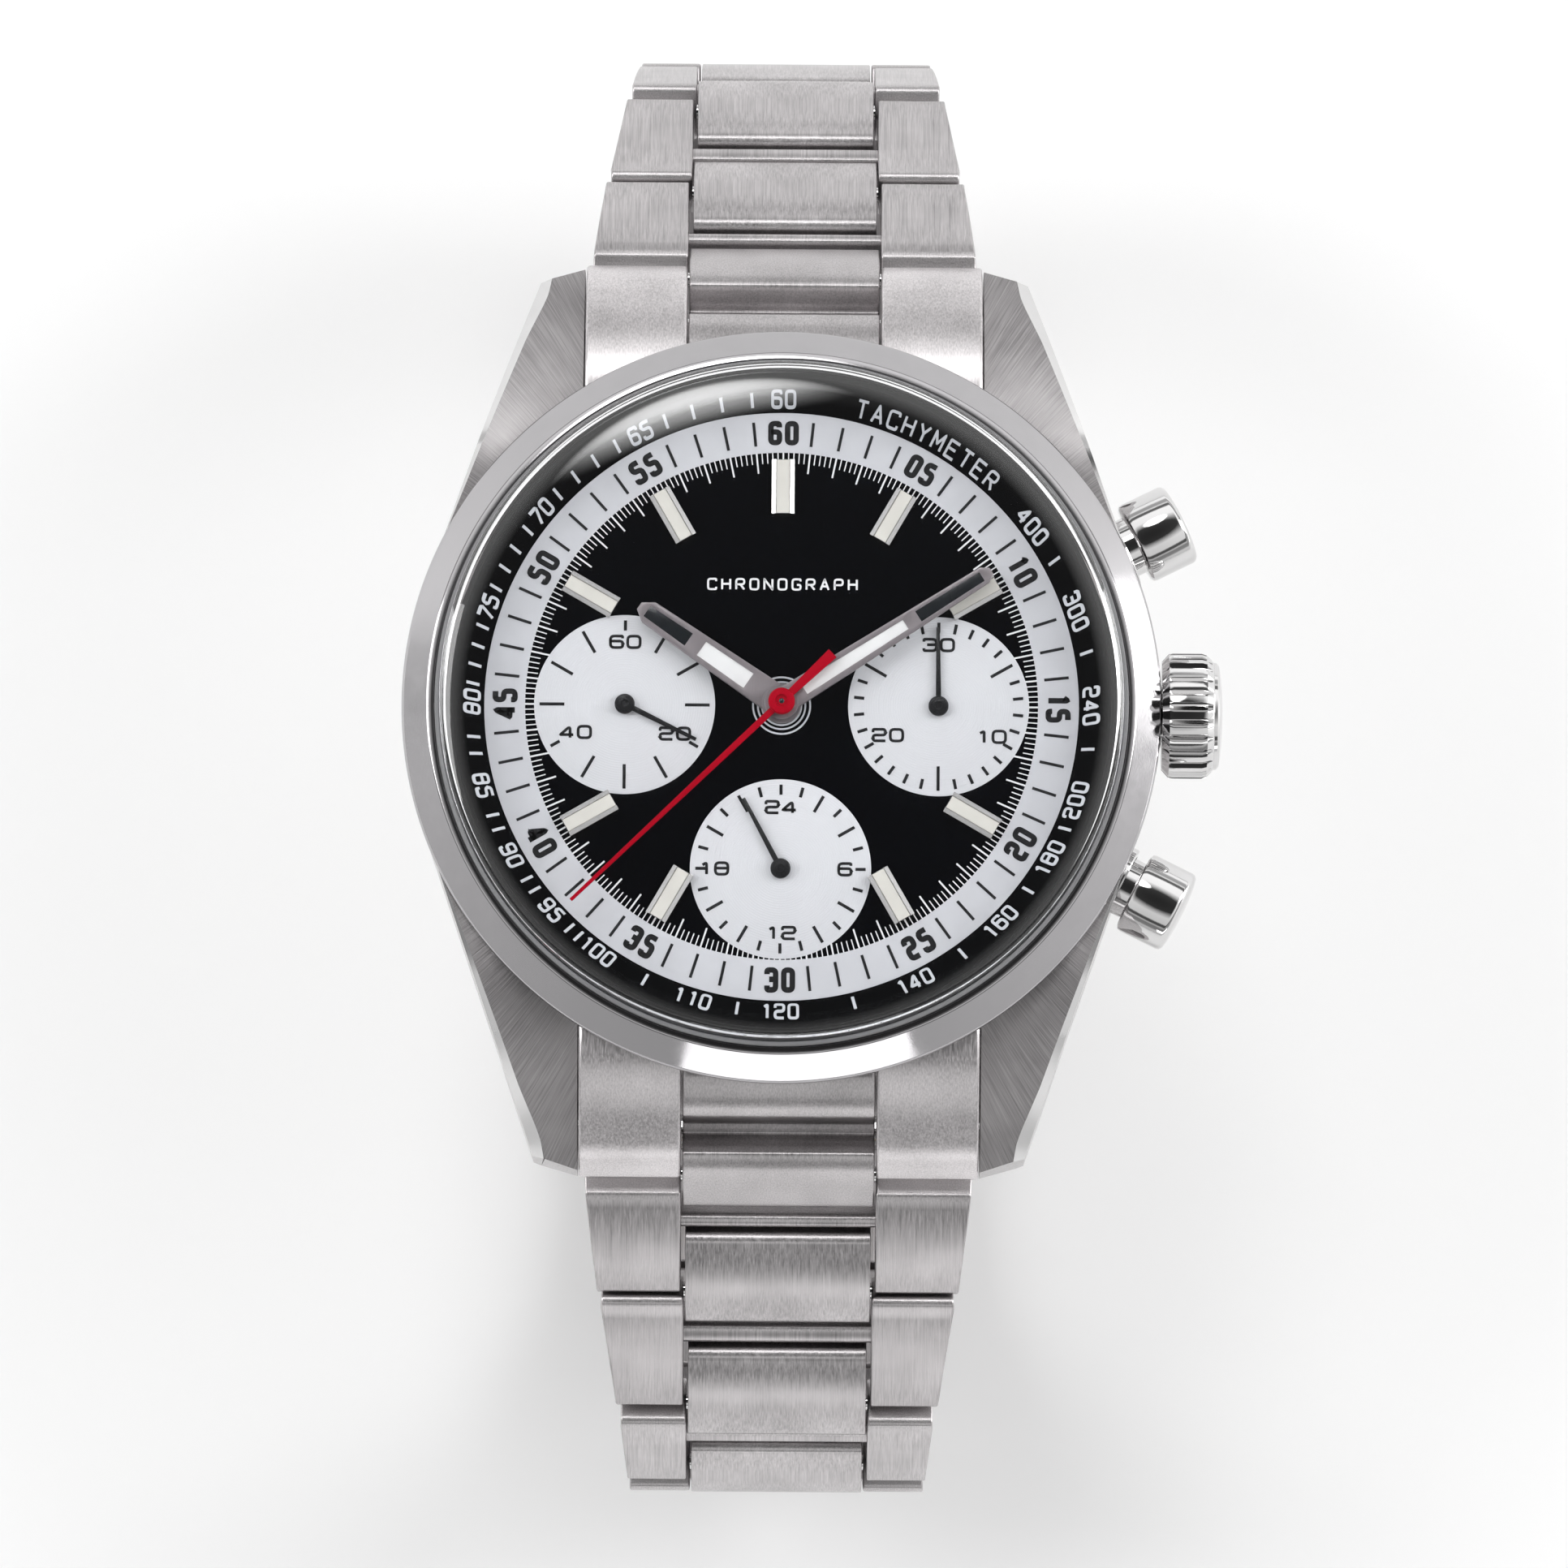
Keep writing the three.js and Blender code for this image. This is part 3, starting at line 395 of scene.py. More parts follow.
def turned(name, profile, material, body, slot, segments=192, matrix=HEAD, bevel=0, centre=(0, 0)):
    """Solid of revolution about Z from a closed loop of (radius, z), or one that meets the axis."""
    on_axis = profile[0][0] == 0 and profile[-1][0] == 0
    ring_points = profile[1:-1] if on_axis else profile
    angles = [2 * math.pi * i / segments for i in range(segments)]
    rings = [[(r * math.cos(a), r * math.sin(a), z) for r, z in ring_points] for a in angles]
    vertices, faces = loft(rings, close_ring=not on_axis, close_path=True)
    if on_axis:
        first, last, n = len(vertices), len(vertices) + 1, len(ring_points)
        vertices += [(0, 0, profile[0][1]), (0, 0, profile[-1][1])]
        for i in range(segments):
            a, b = i * n, (i + 1) % segments * n
            faces += [(first, b, a), (last, a + n - 1, b + n - 1)]
    obj = new_object(name, vertices, faces)
    place = matrix @ Matrix.Translation((centre[0] * MM, centre[1] * MM, 0))
    return finish_piece(obj, material, body, place, bevel)


def flat(name, loops, low, high, material, body, bevel=0, matrix=HEAD, segments=2):
    """Flat shape with holes, raised from low to high, edges rounded by bevel."""
    curve = bpy.data.curves.new(name, "CURVE")
    curve.dimensions = "2D"
    curve.fill_mode = "BOTH"
    for loop in loops:
        spline = curve.splines.new("POLY")
        spline.points.add(len(loop) - 1)
        for point, (x, y) in zip(spline.points, loop):
            point.co = (x, y, 0, 1)
        spline.use_cyclic_u = True
    curve.extrude = (high - low) / 2 - bevel
    curve.bevel_depth = bevel
    curve.bevel_resolution = segments
    curve.offset = -bevel
    maker = in_scene(name, curve)
    bpy.context.view_layer.update()
    mesh = bpy.data.meshes.new_from_object(maker)
    mesh.materials.clear()
    bpy.data.objects.remove(maker)
    mesh.transform(Matrix.Translation((0, 0, (low + high) / 2)))
    return finish_piece(in_scene(name, with_clean_faces(mesh)), material, body, matrix)


def box_outline(y0, y1, z0, z1):
    return [(y0, z0), (y1, z0), (y1, z1), (y0, z1)]


def both_sides(right):
    """Closed outline from its right half and the half's mirror image."""
    (x, y), *rest = right
    return [(-x, y), *right, *((-x, y) for x, y in reversed(rest))]


def circle(radius, x=0, y=0, count=48):
    angles = [2 * math.pi * i / count for i in range(count)]
    return [(x + radius * math.cos(a), y + radius * math.sin(a)) for a in angles]


def arc(radius, start, end, steps, x=0, y=0):
    """Points of an arc between two angles in degrees."""
    angles = [math.radians(start + (end - start) * i / steps) for i in range(steps + 1)]
    return [(x + radius * math.cos(a), y + radius * math.sin(a)) for a in angles]


def turn(points, clockwise, x=0, y=0):
    """Points turned clockwise by degrees, then moved."""
    a = -math.radians(clockwise)
    c, s = math.cos(a), math.sin(a)
    return [(x + px * c - py * s, y + px * s + py * c) for px, py in points]


def on_ring(radius, angle):
    """Place and turn of a label on a ring, the right way up in the lower half too."""
    return (*turn([(0, radius)], angle)[0], angle + (180 if 90 < angle < 270 else 0))


def along_x(
    name, outline, left, right, material, body, slot, matrix, bevel=0.12, half_far=None, length=1, segments=3
):
    """Outline in (y, z), raised from x = left to right; its outer flank can draw in along y."""
    def flank(x, y):
        if half_far is None or abs(x) < max(abs(left), abs(right)) - 1e-6:
            return x
        share = min(max(y / length, 0), 1)
        return math.copysign(abs(x) + (half_far - abs(x)) * share, x)

    rings = [[(flank(x, y), y, z) for y, z in outline] for x in (left, right)]
    obj = new_object(name, *loft(rings))
    return finish_piece(obj, material, body, matrix, bevel, segments)


# ------------------------------------------------------------------ stroke lettering
GLYPHS = {
    "0": ["c 0 0 1 0 1 1 0 1"],
    "1": ["o .35 .8 .68 1 .68 0"],
    "2": ["o 0 .74 0 1 1 1 1 .5 0 .5 0 0 1 0"],
    "3": ["o 0 .78 0 1 1 1 1 0 0 0 0 .22", "o .25 .52 1 .52"],
    "4": ["o .74 0 .74 1 0 .3 0 .26 1 .26"],
    "5": ["o 1 1 0 1 0 .58 1 .58 1 0 0 0 0 .2"],
    "6": ["o .98 .8 .98 1 0 1 0 0 1 0 1 .56 0 .56"],
    "7": ["o 0 1 1 1 1 .86 .36 0"],
    "8": ["c 0 0 1 0 1 1 0 1", "o 0 .53 1 .53"],
    "9": ["o .02 .2 .02 0 1 0 1 1 0 1 0 .44 1 .44"],
    "A": ["o 0 0 .5 1 1 0", "o .2 .33 .8 .33"],
    "C": ["o 1 .78 1 1 0 1 0 0 1 0 1 .22"],
    "E": ["o 1 1 0 1 0 0 1 0", "o 0 .52 .85 .52"],
    "G": ["o 1 .8 1 1 0 1 0 0 1 0 1 .46 .55 .46"],
    "H": ["o 0 0 0 1", "o 1 0 1 1", "o 0 .52 1 .52"],
    "M": ["o 0 0 0 1 .5 .35 1 1 1 0"],
    "N": ["o 0 0 0 1 1 0 1 1"],
    "O": ["c 0 0 1 0 1 1 0 1"],
    "P": ["o 0 0 0 1 1 1 1 .46 0 .46"],
    "R": ["o 0 0 0 1 1 1 1 .48 0 .48", "o .5 .48 1 0"],
    "T": ["o 0 1 1 1", "o .5 1 .5 0"],
    "Y": ["o 0 1 .5 .48 1 1", "o .5 .48 .5 0"],
}
SQUARE_CORNERS = set("AMNTYE")


def rounded(points, closed, radius):
    """Polyline with its corners rounded off."""
    count = len(points)
    out = []
    places = [Vector(point) for point in points]
    for i, p in enumerate(places):
        if not closed and i in (0, count - 1):
            out.append(points[i])
            continue
        to_before, to_after = places[i - 1] - p, places[(i + 1) % count] - p
        reach = min(radius, to_before.length * 0.5, to_after.length * 0.5)
        start, end = p + to_before.normalized() * reach, p + to_after.normalized() * reach
        for t in (0, 0.25, 0.5, 0.75, 1):
            out.append(start * (1 - t) ** 2 + p * 2 * t * (1 - t) + end * t * t)
    return out


def ribbon(points, closed, half, low, high):
    """Raised stroke of constant width along a flat polyline."""
    count = len(points)
    rings = []
    for i, p in enumerate(points):
        before = Vector(points[i - 1]) if closed or i else None
        after = Vector(points[(i + 1) % count]) if closed or i < count - 1 else None
        p = Vector(p)
        d1 = (p - before).normalized() if before is not None else None
        d2 = (after - p).normalized() if after is not None else None
        d1, d2 = d1 or d2, d2 or d1
        middle = (d1 + d2).normalized() if (d1 + d2).length > 1e-6 else d1
        stretch = min(1 / max(middle.dot(d1), 0.5), 1.6)
        side = Vector((-middle.y, middle.x)) * half * stretch
        a, b = p + side, p - side
        rings.append([(a.x, a.y, low), (b.x, b.y, low), (b.x, b.y, high), (a.x, a.y, high)])
    return loft(rings, close_path=closed)


def gather(vertices, faces, more_vertices, more_faces):
    base = len(vertices)
    vertices += more_vertices
    faces += [tuple(base + i for i in face) for face in more_faces]


def lettering(name, labels, material, body="head", low=0, high=0.012, warp=None):
    """One object of text labels: (text, x, y, clockwise turn, height, glyph width, gap, stroke)."""
    vertices, faces = [], []
    for text, x, y, angle, height, width, gap, stroke in labels:
        advance = width + gap
        start = -(advance * len(text) - gap) / 2
        for position, letter in enumerate(text):
            for layer, line in enumerate(GLYPHS[letter]):
                kind, *numbers = line.split()
                values = [float(n) for n in numbers]
                inner_w, inner_h = width - stroke, height - stroke
                points = [
                    (start + position * advance + stroke / 2 + u * inner_w, v * inner_h - inner_h / 2)
                    for u, v in zip(values[::2], values[1::2])
                ]
                corner = 0.02 if letter in SQUARE_CORNERS else 0.26
                smooth = rounded(points, kind == "c", corner * width)
                placed = turn(smooth, angle, x, y)
                gather(vertices, faces, *ribbon(placed, kind == "c", stroke / 2, low, high + 0.0007 * layer))
    return solid_print(name, vertices, faces, material, body, warp)


def solid_print(name, vertices, faces, material, body, warp=None):
    if warp:
        vertices = [warp(v) for v in vertices]
    return finish_piece(new_object(name, vertices, faces, weld=False), material, body)


def ticks(
    name, marks, material, body="head", low=0, high=0.012, centre=(0, 0), warp=None
):
    """Radial marks (clockwise angle, inner radius, outer radius, width)."""
    vertices, faces = [], []
    for angle, inner, outer, width in marks:
        line = turn([(0, inner), (0, outer)], angle, *centre)
        gather(vertices, faces, *ribbon(line, False, width / 2, low, high))
    return solid_print(name, vertices, faces, material, body, warp)


# ------------------------------------------------------------------ case
CASE_R = 18.8
LUG_X = 10.05
LUG_TIP_Y = 22.9
FLANK_TANGENT = 19  # degrees from 3 o'clock to where the round flank turns straight
BORE_R = 17.7
LUG_CORNER = (12.28, 22.15)
CURVE_START = 12.4  # from here outwards the top drops towards the lugs
FACET_START = 8  # and from here its polished edge widens


def case_top(y):
    t = max(0, (abs(y) - CURVE_START) / (LUG_TIP_Y - CURVE_START))
    return -0.05 - 3.95 * min(t, 1) ** 1.6


def case_bottom(y):
    stations = [(0, -5.9), (17.2, -5.9), (17.5, -6.8), (19.9, -8.15), (21.7, -7.95), (22.6, -6.7), (30, -6.5)]
    for (y0, z0), (y1, z1) in zip(stations, stations[1:]):
        if abs(y) <= y1:
            return z0 + (z1 - z0) * (abs(y) - y0) / (y1 - y0)
    return stations[-1][1]


def case_stations():
    """Inner and outer plan points of the case's right half, from 3 o'clock to the lug's tip."""
    tangent = math.radians(FLANK_TANGENT)
    root = (CASE_R * math.cos(tangent), CASE_R * math.sin(tangent))
    tip = LUG_CORNER
    along = (tip[0] - root[0], tip[1] - root[1])
    stations = []
    corner = math.degrees(math.acos(LUG_X / BORE_R))
    for i in range(35):
        angle = math.radians(corner * i / 34)
        c, s = math.cos(angle), math.sin(angle)
        if angle <= tangent:
            outer = (CASE_R * c, CASE_R * s)
        else:
            k = (root[0] * s - root[1] * c) / (along[1] * c - along[0] * s)
            outer = (root[0] + along[0] * k, root[1] + along[1] * k)
        stations.append(((BORE_R * c, BORE_R * s), outer))
    (ix, iy), (ox, oy) = stations[-1]
    for i in range(1, 15):
        t = i / 14
        stations.append(((LUG_X, iy + (22.85 - iy) * t), (ox + (tip[0] - ox) * t, oy + (tip[1] - oy) * t)))
    return stations


def case_half(side):
    half = case_stations()
    stations = [((ix, -iy), (ox, -oy)) for (ix, iy), (ox, oy) in reversed(half)] + half[1:]
    rings = []
    for (ix, iy), (ox, oy) in stations:
        dx, dy = ox - ix, oy - iy
        reach = math.hypot(dx, dy)
        ux, uy = dx / reach, dy / reach
        facet = 0.62 * max(0, (abs(oy) - FACET_START) / (LUG_CORNER[1] - FACET_START)) + 0.02
        def at(inset, z_of, drop=0):
            x, y = ox - ux * inset, oy - uy * inset
            return (side * x, y, z_of(y) - drop)
        middle = at(reach * 0.5, case_top)
        ring = [
            (side * ix, iy, case_top(iy)), at(reach * 0.75, case_top), middle, at(reach * 0.25, case_top),
            at(facet, case_top), at(0, case_top, facet * 0.8), at(0, case_bottom, -0.4),
            at(0.4, case_bottom), (side * ix, iy, case_bottom(iy)),
        ]
        rings.append(ring)
    vertices, faces = loft(rings)
    count = len(rings[0])
    kinds = [0, 0, 0, 0, 1, 2, 1, 2, 2]
    face_materials = [kinds[i % count] for i in range(len(faces) - 2)] + [2, 2]
    obj = new_object(f"case_side_{'right' if side > 0 else 'left'}", vertices, faces, face_materials)
    return finish_piece(
        obj, ["lug", "polish", "flank"], "head", bevel=0.1, segments=3, sharp=22
    )


def case():
    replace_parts(case_half(1), "case_middle")
    case_half(-1)
    profile = [(16.65, -5.85), (17.75, -5.85), (17.75, -0.1), (17.35, -0.1), (17.35, 0.5), (16.65, 0.5)]
    ring = turned("case_ring", profile, "turned", "head", "brushed_steel")
    bore = [(0, 15.5), (1.62, 15.5), (1.62, 18.6), (0, 18.6)]
    for side in (1, -1):
        cutter = turned("pusher_bore", bore, "turned", "head", "brushed_steel", 72, pusher_place(side))
        cut_with(ring, cutter)
    slope = [
        (18.93, 0.03), (18.95, 0.1), (18.95, 0.3), (18.92, 0.4), (18.86, 0.47), (18.83, 0.5), (17.69, 1.63),
        (17.66, 1.66), (17.6, 1.69), (17.36, 1.72), (17.3, 1.66), (17.3, 0.75), (17.5, 0.55), (17.5, 0.03)
    ]
    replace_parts(turned("bezel_ring", slope, "bezel", "head", "polished_steel", 256), "bezel")
    collar = [(17.04, 0.62), (17.27, 0.62), (17.27, 1.75), (17.22, 1.82), (17.09, 1.82), (17.04, 1.75)]
    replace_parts(turned("gasket_ring", collar, "gasket", "head", "gasket_white", 256), "crystal_gasket")


def crystal():
    inner = [
        (0, 2.95), (4, 2.93), (8, 2.85), (12, 2.69), (15, 2.5), (16.3, 2.36), (16.55, 2.3), (16.64, 2.2),
        (16.64, 0.7)
    ]
    outer = [
        (17, 0.7), (17, 2.95), (16.97, 3.03), (16.82, 3.2), (16.72, 3.26), (15.5, 3.44), (14, 3.58),
        (11, 3.75), (8, 3.87), (4, 3.97), (0, 4)
    ]
    dome = turned("crystal_dome", inner + outer, "crystal", "head", "sapphire", 256)
    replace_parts(dome, "crystal")


def caseback():
    profile = [
        (16.5, -5.97), (16.85, -6.2), (16.9, -6.35), (16.9, -7.25), (16.83, -7.4), (15.8, -8.5),
        (15.6, -8.6), (12.75, -8.6), (12.6, -8.45), (12.6, -7.5), (11.9, -7.5), (11.9, -6.9), (15.2, -6.4),
        (15.3, -5.97)
    ]
    cover = turned("caseback_ring", profile, "turned", "head", "brushed_steel", 240)
    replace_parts(cover, "caseback")
    for i in range(6):
        slot_loop = turn(box_outline(-0.9, 0.9, 15.35, 17.2), 60 * i)
        cutter = flat(f"notch_cutter_{i}", [slot_loop], -9, -7.7, "turned", "head")
        cut_with(cover, cutter)
    glass_loop = [(0, -8.48), (12.3, -8.48), (12.5, -8.38), (12.5, -7.56), (0, -7.56)]
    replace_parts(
        turned("caseback_window", glass_loop, "mineral", "head", "mineral_glass", 192), "caseback_crystal"
    )


def evaluated_mesh(obj):
    bpy.context.view_layer.update()
    return bpy.data.meshes.new_from_object(obj.evaluated_get(bpy.context.evaluated_depsgraph_get()))


def apply_modifiers(obj):
    made = evaluated_mesh(obj)
    obj.modifiers.clear()
    obj.data = made


def cut_with(obj, cutter):
    """Cuts another piece's volume out of a finished piece, and removes the cutter."""
    bpy.context.view_layer.update()
    cut = obj.modifiers.new("cut", "BOOLEAN")
    cut.operation = "DIFFERENCE"
    cut.solver = "EXACT"
    cut.object = cutter
    made = evaluated_mesh(obj)
    obj.modifiers.remove(cut)
    obj.data = made
    bpy.data.objects.remove(cutter)


# ------------------------------------------------------------------ dial
RING_OUT, RING_IN = 14.75, 12.75
RING_NUMBER_R, SCALE_R = 13.74, 15.33  # middles of the minute numbers and of the tachymeter's
REHAUT = (14.8, 0.03, 15.87, 1.35)
SUBDIALS = {"seconds": (-7.8, 0), "minutes": (7.8, 0), "hours": (0, -8.2)}


def dial():
    base = turned(
        "dial_plate", [(0, -0.4), (16.3, -0.4), (16.3, 0), (0, 0)], "black_dial", "head", "dial_lacquer"
    )
    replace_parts(base, "dial")
    turned("minute_ring", box_outline(RING_IN, RING_OUT, 0, 0.03), "ring_white", "head", "dial_lacquer", 256)
    numbers, marks, track = [], [], []
    for second in range(60):
        angle = second * 6
        if second % 5 == 0:
            numbers.append((f"{second or 60:02d}", *on_ring(RING_NUMBER_R, angle), 1.24, 0.7, 0.13, 0.275))
        else:
            marks.append((angle, 13.12, 14.34, 0.145))
    lettering("minute_numbers", numbers, "black_print", low=0.02, high=0.042)
    ticks("minute_marks", marks, "black_print", low=0.02, high=0.042)
    for fifth in range(300):
        whole = fifth % 5 == 0
        track.append((fifth * 1.2, 11.75 if whole else 12.22, 12.78, 0.085 if whole else 0.055))
    ticks("fifth_seconds_track", track, "white_print", low=0, high=0.018)
    word = [("CHRONOGRAPH", 0, 6.1, 0, 0.62, 0.5, 0.2, 0.1)]
    lettering("dial_word", word, "white_print", high=0.03)
    for i, radius in enumerate((0.98, 1.18, 1.42)):
        loops = [circle(radius + 0.045, count=96), circle(radius - 0.045, count=96)]
        flat(f"centre_ring_{i}", loops, -0.002, 0.012, "grey_print", "head")
    markers()


def markers():
    inner, outer = 9.62, 12.36
    for hour in (12, 1, 2, 4, 5, 7, 8, 10, 11):
        section = both_sides([(0.57, 0), (0.57, 0.37), (0.35, 0.47), (0.33, 0.4)])
        rings = [[(x, y, z) for x, z in section] for y in (inner, outer)]
        spin = HEAD @ Matrix.Rotation(math.radians(-30 * hour), 4, "Z")
        bar = new_object(f"marker_{hour}", *loft(rings))
        finish_piece(bar, "marker", "head", spin, 0.012)
        fill = [
            [(x, y, z) for x, z in box_outline(-0.325, 0.325, 0.35, 0.44)]
            for y in (inner + 0.03, outer - 0.03)
        ]
        paint = new_object(f"marker_lume_{hour}", *loft(fill))
        finish_piece(paint, "lume", "head", spin, 0.02)


def subdial(key, marks, labels):
    x, y = SUBDIALS[key]
    turned(
        f"subdial_{key}", [(0, -0.1), (4.5, -0.1), (4.5, 0.02), (4.46, 0.035), (0, 0.03)], "subdial", "head",
        "dial_lacquer", 160, centre=(x, y)
    )
    ticks(f"subdial_{key}_marks", marks, "black_print", low=0.02, high=0.045, centre=(x, y))
    placed = [(text, *turn([(0, r)], a, x, y)[0], 0, 0.72, 0.76, 0.1, 0.14) for text, a, r in labels]
    lettering(f"subdial_{key}_numbers", placed, "black_print", low=0.02, high=0.045)


def subdials():
    long, short, width = (3, 4.23), (3.72, 4.23), 0.155
    twelve = [(30 * i, *(short if i % 4 == 0 else long), width) for i in range(12)]
    subdial("seconds", twelve, [("60", 0, 3.15), ("20", 120, 2.9), ("40", 240, 2.8)])
    thirty = [(12 * i, *(long if i in (5, 15, 25) else short), width) for i in range(30)]
    subdial("minutes", thirty, [("30", 0, 3.1), ("10", 120, 3), ("20", 240, 2.9)])
    longs = (2, 4, 8, 10, 14, 16, 20, 22)
    day = [(15 * i, *((3.3, 4.23) if i in longs else short), width) for i in range(24)]
    subdial("hours", day, [("24", 0, 3.1), ("6", 90, 3.2), ("12", 180, 3.2), ("18", 270, 3.35)])


# ------------------------------------------------------------------ tachymeter ring
def on_rehaut(v):
    """Lays a flat print at radius and height onto the sloping ring."""
    x, y, z = v
    radius = math.hypot(x, y)
    r0, z0, r1, z1 = REHAUT
    slope = math.atan2(z1 - z0, r1 - r0)
    share = (radius - r0) / (r1 - r0)
    rise = z0 + share * (z1 - z0) + z * math.cos(slope)
    out = radius - z * math.sin(slope)
    return (x / radius * out, y / radius * out, rise)


def lap_angle(speed):
    """Degrees the seconds hand turns in the time of one unit at a speed per hour."""
    return 3600 * 6 / speed


WORD_START, WORD_END = 14.8, 42.4


def tachymeter():
    r0, z0, r1, z1 = REHAUT
    profile = [
        (r0, z0), (16.45, z0), (16.45, 2.05), (16.35, 2.1), (16.28, 1.95), (16.2, z1 + 0.05),
        (r1 + 0.05, z1 + 0.03), (r1, z1)
    ]
    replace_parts(turned("rehaut", profile, "rehaut", "head", "track_black", 256), "tachymeter_ring")
    speeds = [*range(60, 101, 5), 110, 120, 140, 160, 180, 200, 240, 300, 400]
    ones = [speed for speed in range(61, 80) if speed % 5]
    between = [*ones, 82, 83, 87, 88, 92, 93, 97, 98, 105, 115, 130, 150, 170, 190, 220, 270, 350]
    labels = []
    for speed in speeds:
        labels.append((str(speed), *on_ring(SCALE_R, lap_angle(speed) % 360), 0.82, 0.57, 0.11, 0.14))
    word = "TACHYMETER"
    for i, letter in enumerate(word):
        angle = WORD_START + (WORD_END - WORD_START) * i / (len(word) - 1)
        labels.append((letter, *on_ring(SCALE_R, angle), 0.84, 0.62, 0.1, 0.12))
    lettering(
        "tachymeter_scale", labels, "grey_print", low=-0.01, high=0.012, warp=on_rehaut
    )
    marks = [(lap_angle(speed), SCALE_R - 0.31, SCALE_R + 0.31, 0.15) for speed in between]
    ticks("tachymeter_marks", marks, "grey_print", low=-0.01, high=0.012, warp=on_rehaut)


# ------------------------------------------------------------------ hands
def baton(name, body, angle, outline, windows, low, high, hub, node):
    """Satin hand with a bevelled edge, windows of lume and black paint, and a stepped hub."""
    loops = [turn(both_sides(half), angle) for half in (outline, *windows.values())]
    blade = flat(f"{name}_blade", loops, low, high, "satin", body, 0.03)
    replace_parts(blade, node)
    for i, (paint, window) in enumerate(zip(windows, loops[1:])):
        flat(f"{name}_window_{i}", [window], low + 0.02, high - 0.045, paint, body, 0.01)
    turned(f"{name}_hub", hub, "satin", body, "hand_satin", 64)


def hub_profile(bore, pipe, rim, foot, low):
    """Pipe that ends in a rounded cap."""
    return [
        (bore, foot), (pipe, foot), (pipe, low), (rim - 0.03, low + 0.02), (rim, low + 0.06),
        (rim, low + 0.18), (rim - 0.03, low + 0.21), (bore, low + 0.21)
    ]


def hands():
    hour = [(0.78, 0.2), (0.6, 8.05), (0.2, 8.62)]
    windows = {"hand_lume": [(0.44, 2), (0.41, 4.85)], "hand_black": [(0.37, 5.62), (0.31, 8.15)]}
    hub = hub_profile(0.62, 0.85, 1, -0.4, 0.56)
    baton("hour_hand", "hour", 304.4, hour, windows, 0.55, 0.76, hub, "hour_hand")
    minute = [(0.66, 0.2), (0.45, 11.95), (0.17, 12.35)]
    windows = {"hand_lume": [(0.34, 1.3), (0.27, 7.3)], "hand_black": [(0.3, 8.05), (0.25, 11.8)]}
    hub = hub_profile(0.34, 0.55, 0.85, -2.4, 0.96)
    baton("minute_hand", "minute", 57.2, minute, windows, 0.95, 1.16, hub, "minute_hand")
    chrono = [
        (-0.17, 0), (-0.28, -3.5), (0.28, -3.5), (0.17, 0), (0.16, 2), (0.085, 14.4), (-0.085, 14.4),
        (-0.16, 2)
    ]
    red = flat("chronograph_blade", [turn(chrono, 226)], 1.36, 1.5, "red", "chronograph", 0.025)
    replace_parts(red, "chronograph_seconds_hand")
    cap = [
        (0, -5.8), (0.25, -5.8), (0.25, 1.3), (0.6, 1.34), (0.66, 1.4), (0.66, 1.62), (0.6, 1.7),
        (0.34, 1.72), (0.3, 1.68), (0.28, 1.6), (0, 1.6)
    ]
    turned("chronograph_cap", cap, "red", "chronograph", "red_paint", 64)
    turned(
        "chronograph_pin", [(0, 1.5), (0.13, 1.5), (0.13, 1.61), (0.1, 1.63), (0, 1.64)], "hand_black",
        "chronograph", "polished_steel", 32
    )
    small = {
        "small_seconds": ("seconds", 116.3, "small_seconds_hand", -2.5),
        "minute_counter": ("minutes", -0.6, "minute_counter_hand", -5.8),
        "hour_24": ("hours", 332, "hour_24_hand", -2.25)
    }
    for body, (key, angle, node, arbor_end) in small.items():
        x, y = SUBDIALS[key]
        blade = both_sides([(0.13, -0.2), (0.13, 0.8), (0.085, 3.97)])
        made = flat(
            f"{body}_blade", [turn(blade, angle, x, y)], 0.15, 0.26, "black_hand", body, 0.015
        )
        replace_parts(made, node)
        hub = [
            (0, arbor_end), (0.2, arbor_end), (0.2, 0.06), (0.46, 0.08), (0.5, 0.13), (0.5, 0.32),
            (0.42, 0.4), (0.2, 0.42), (0.16, 0.36), (0, 0.34)
        ]
        turned(f"{body}_hub", hub, "black_hand", body, "black_paint", 48, centre=(x, y))


# ------------------------------------------------------------------ crown and pushers
CROWN_Z = -2.2


def crown():
    flutes, per = 24, 10  # grooves, and points to each
    stations = [
        (18.98, 2.55, 0), (19, 2.7, 0), (19.35, 3.1, 0.5), (19.55, 3.13, 1), (21, 3.13, 1),
        (21.25, 3.06, 0.6), (21.52, 2.8, 0), (21.58, 2.74, 0), (21.6, 2.7, 0), (21.75, 2.67, 0),
        (21.86, 2.55, 0), (21.95, 2.1, 0), (22.02, 1.3, 0), (22.06, 0.5, 0)
    ]
    rings = []
    for x, radius, cut in stations:
        ring = []
        for i in range(flutes * per):
            phase = abs((i % per) / per - 0.5) * 2
            groove = max(0, phase - 0.45) / 0.55
            r = radius - 0.42 * cut * groove
            a = 2 * math.pi * i / (flutes * per)
            ring.append((x, r * math.cos(a), r * math.sin(a)))
        rings.append(ring)
    body = new_object("crown_grip", *loft(rings))
    place = HEAD @ Matrix.Translation((0, 0, CROWN_Z * MM))
    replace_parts(finish_piece(body, "polish", "crown", place, sharp=28), "crown")
    tube = box_outline(0.9, 1.62, 17.8, 18.95)
    turned(
        "crown_tube", tube, "polish", "head", "polished_steel", 64,
        place @ Matrix.Rotation(math.pi / 2, 4, "Y"), 0.04
    )


PUSHER_Z = -2.75
PUSHER_ANGLE = 26.4


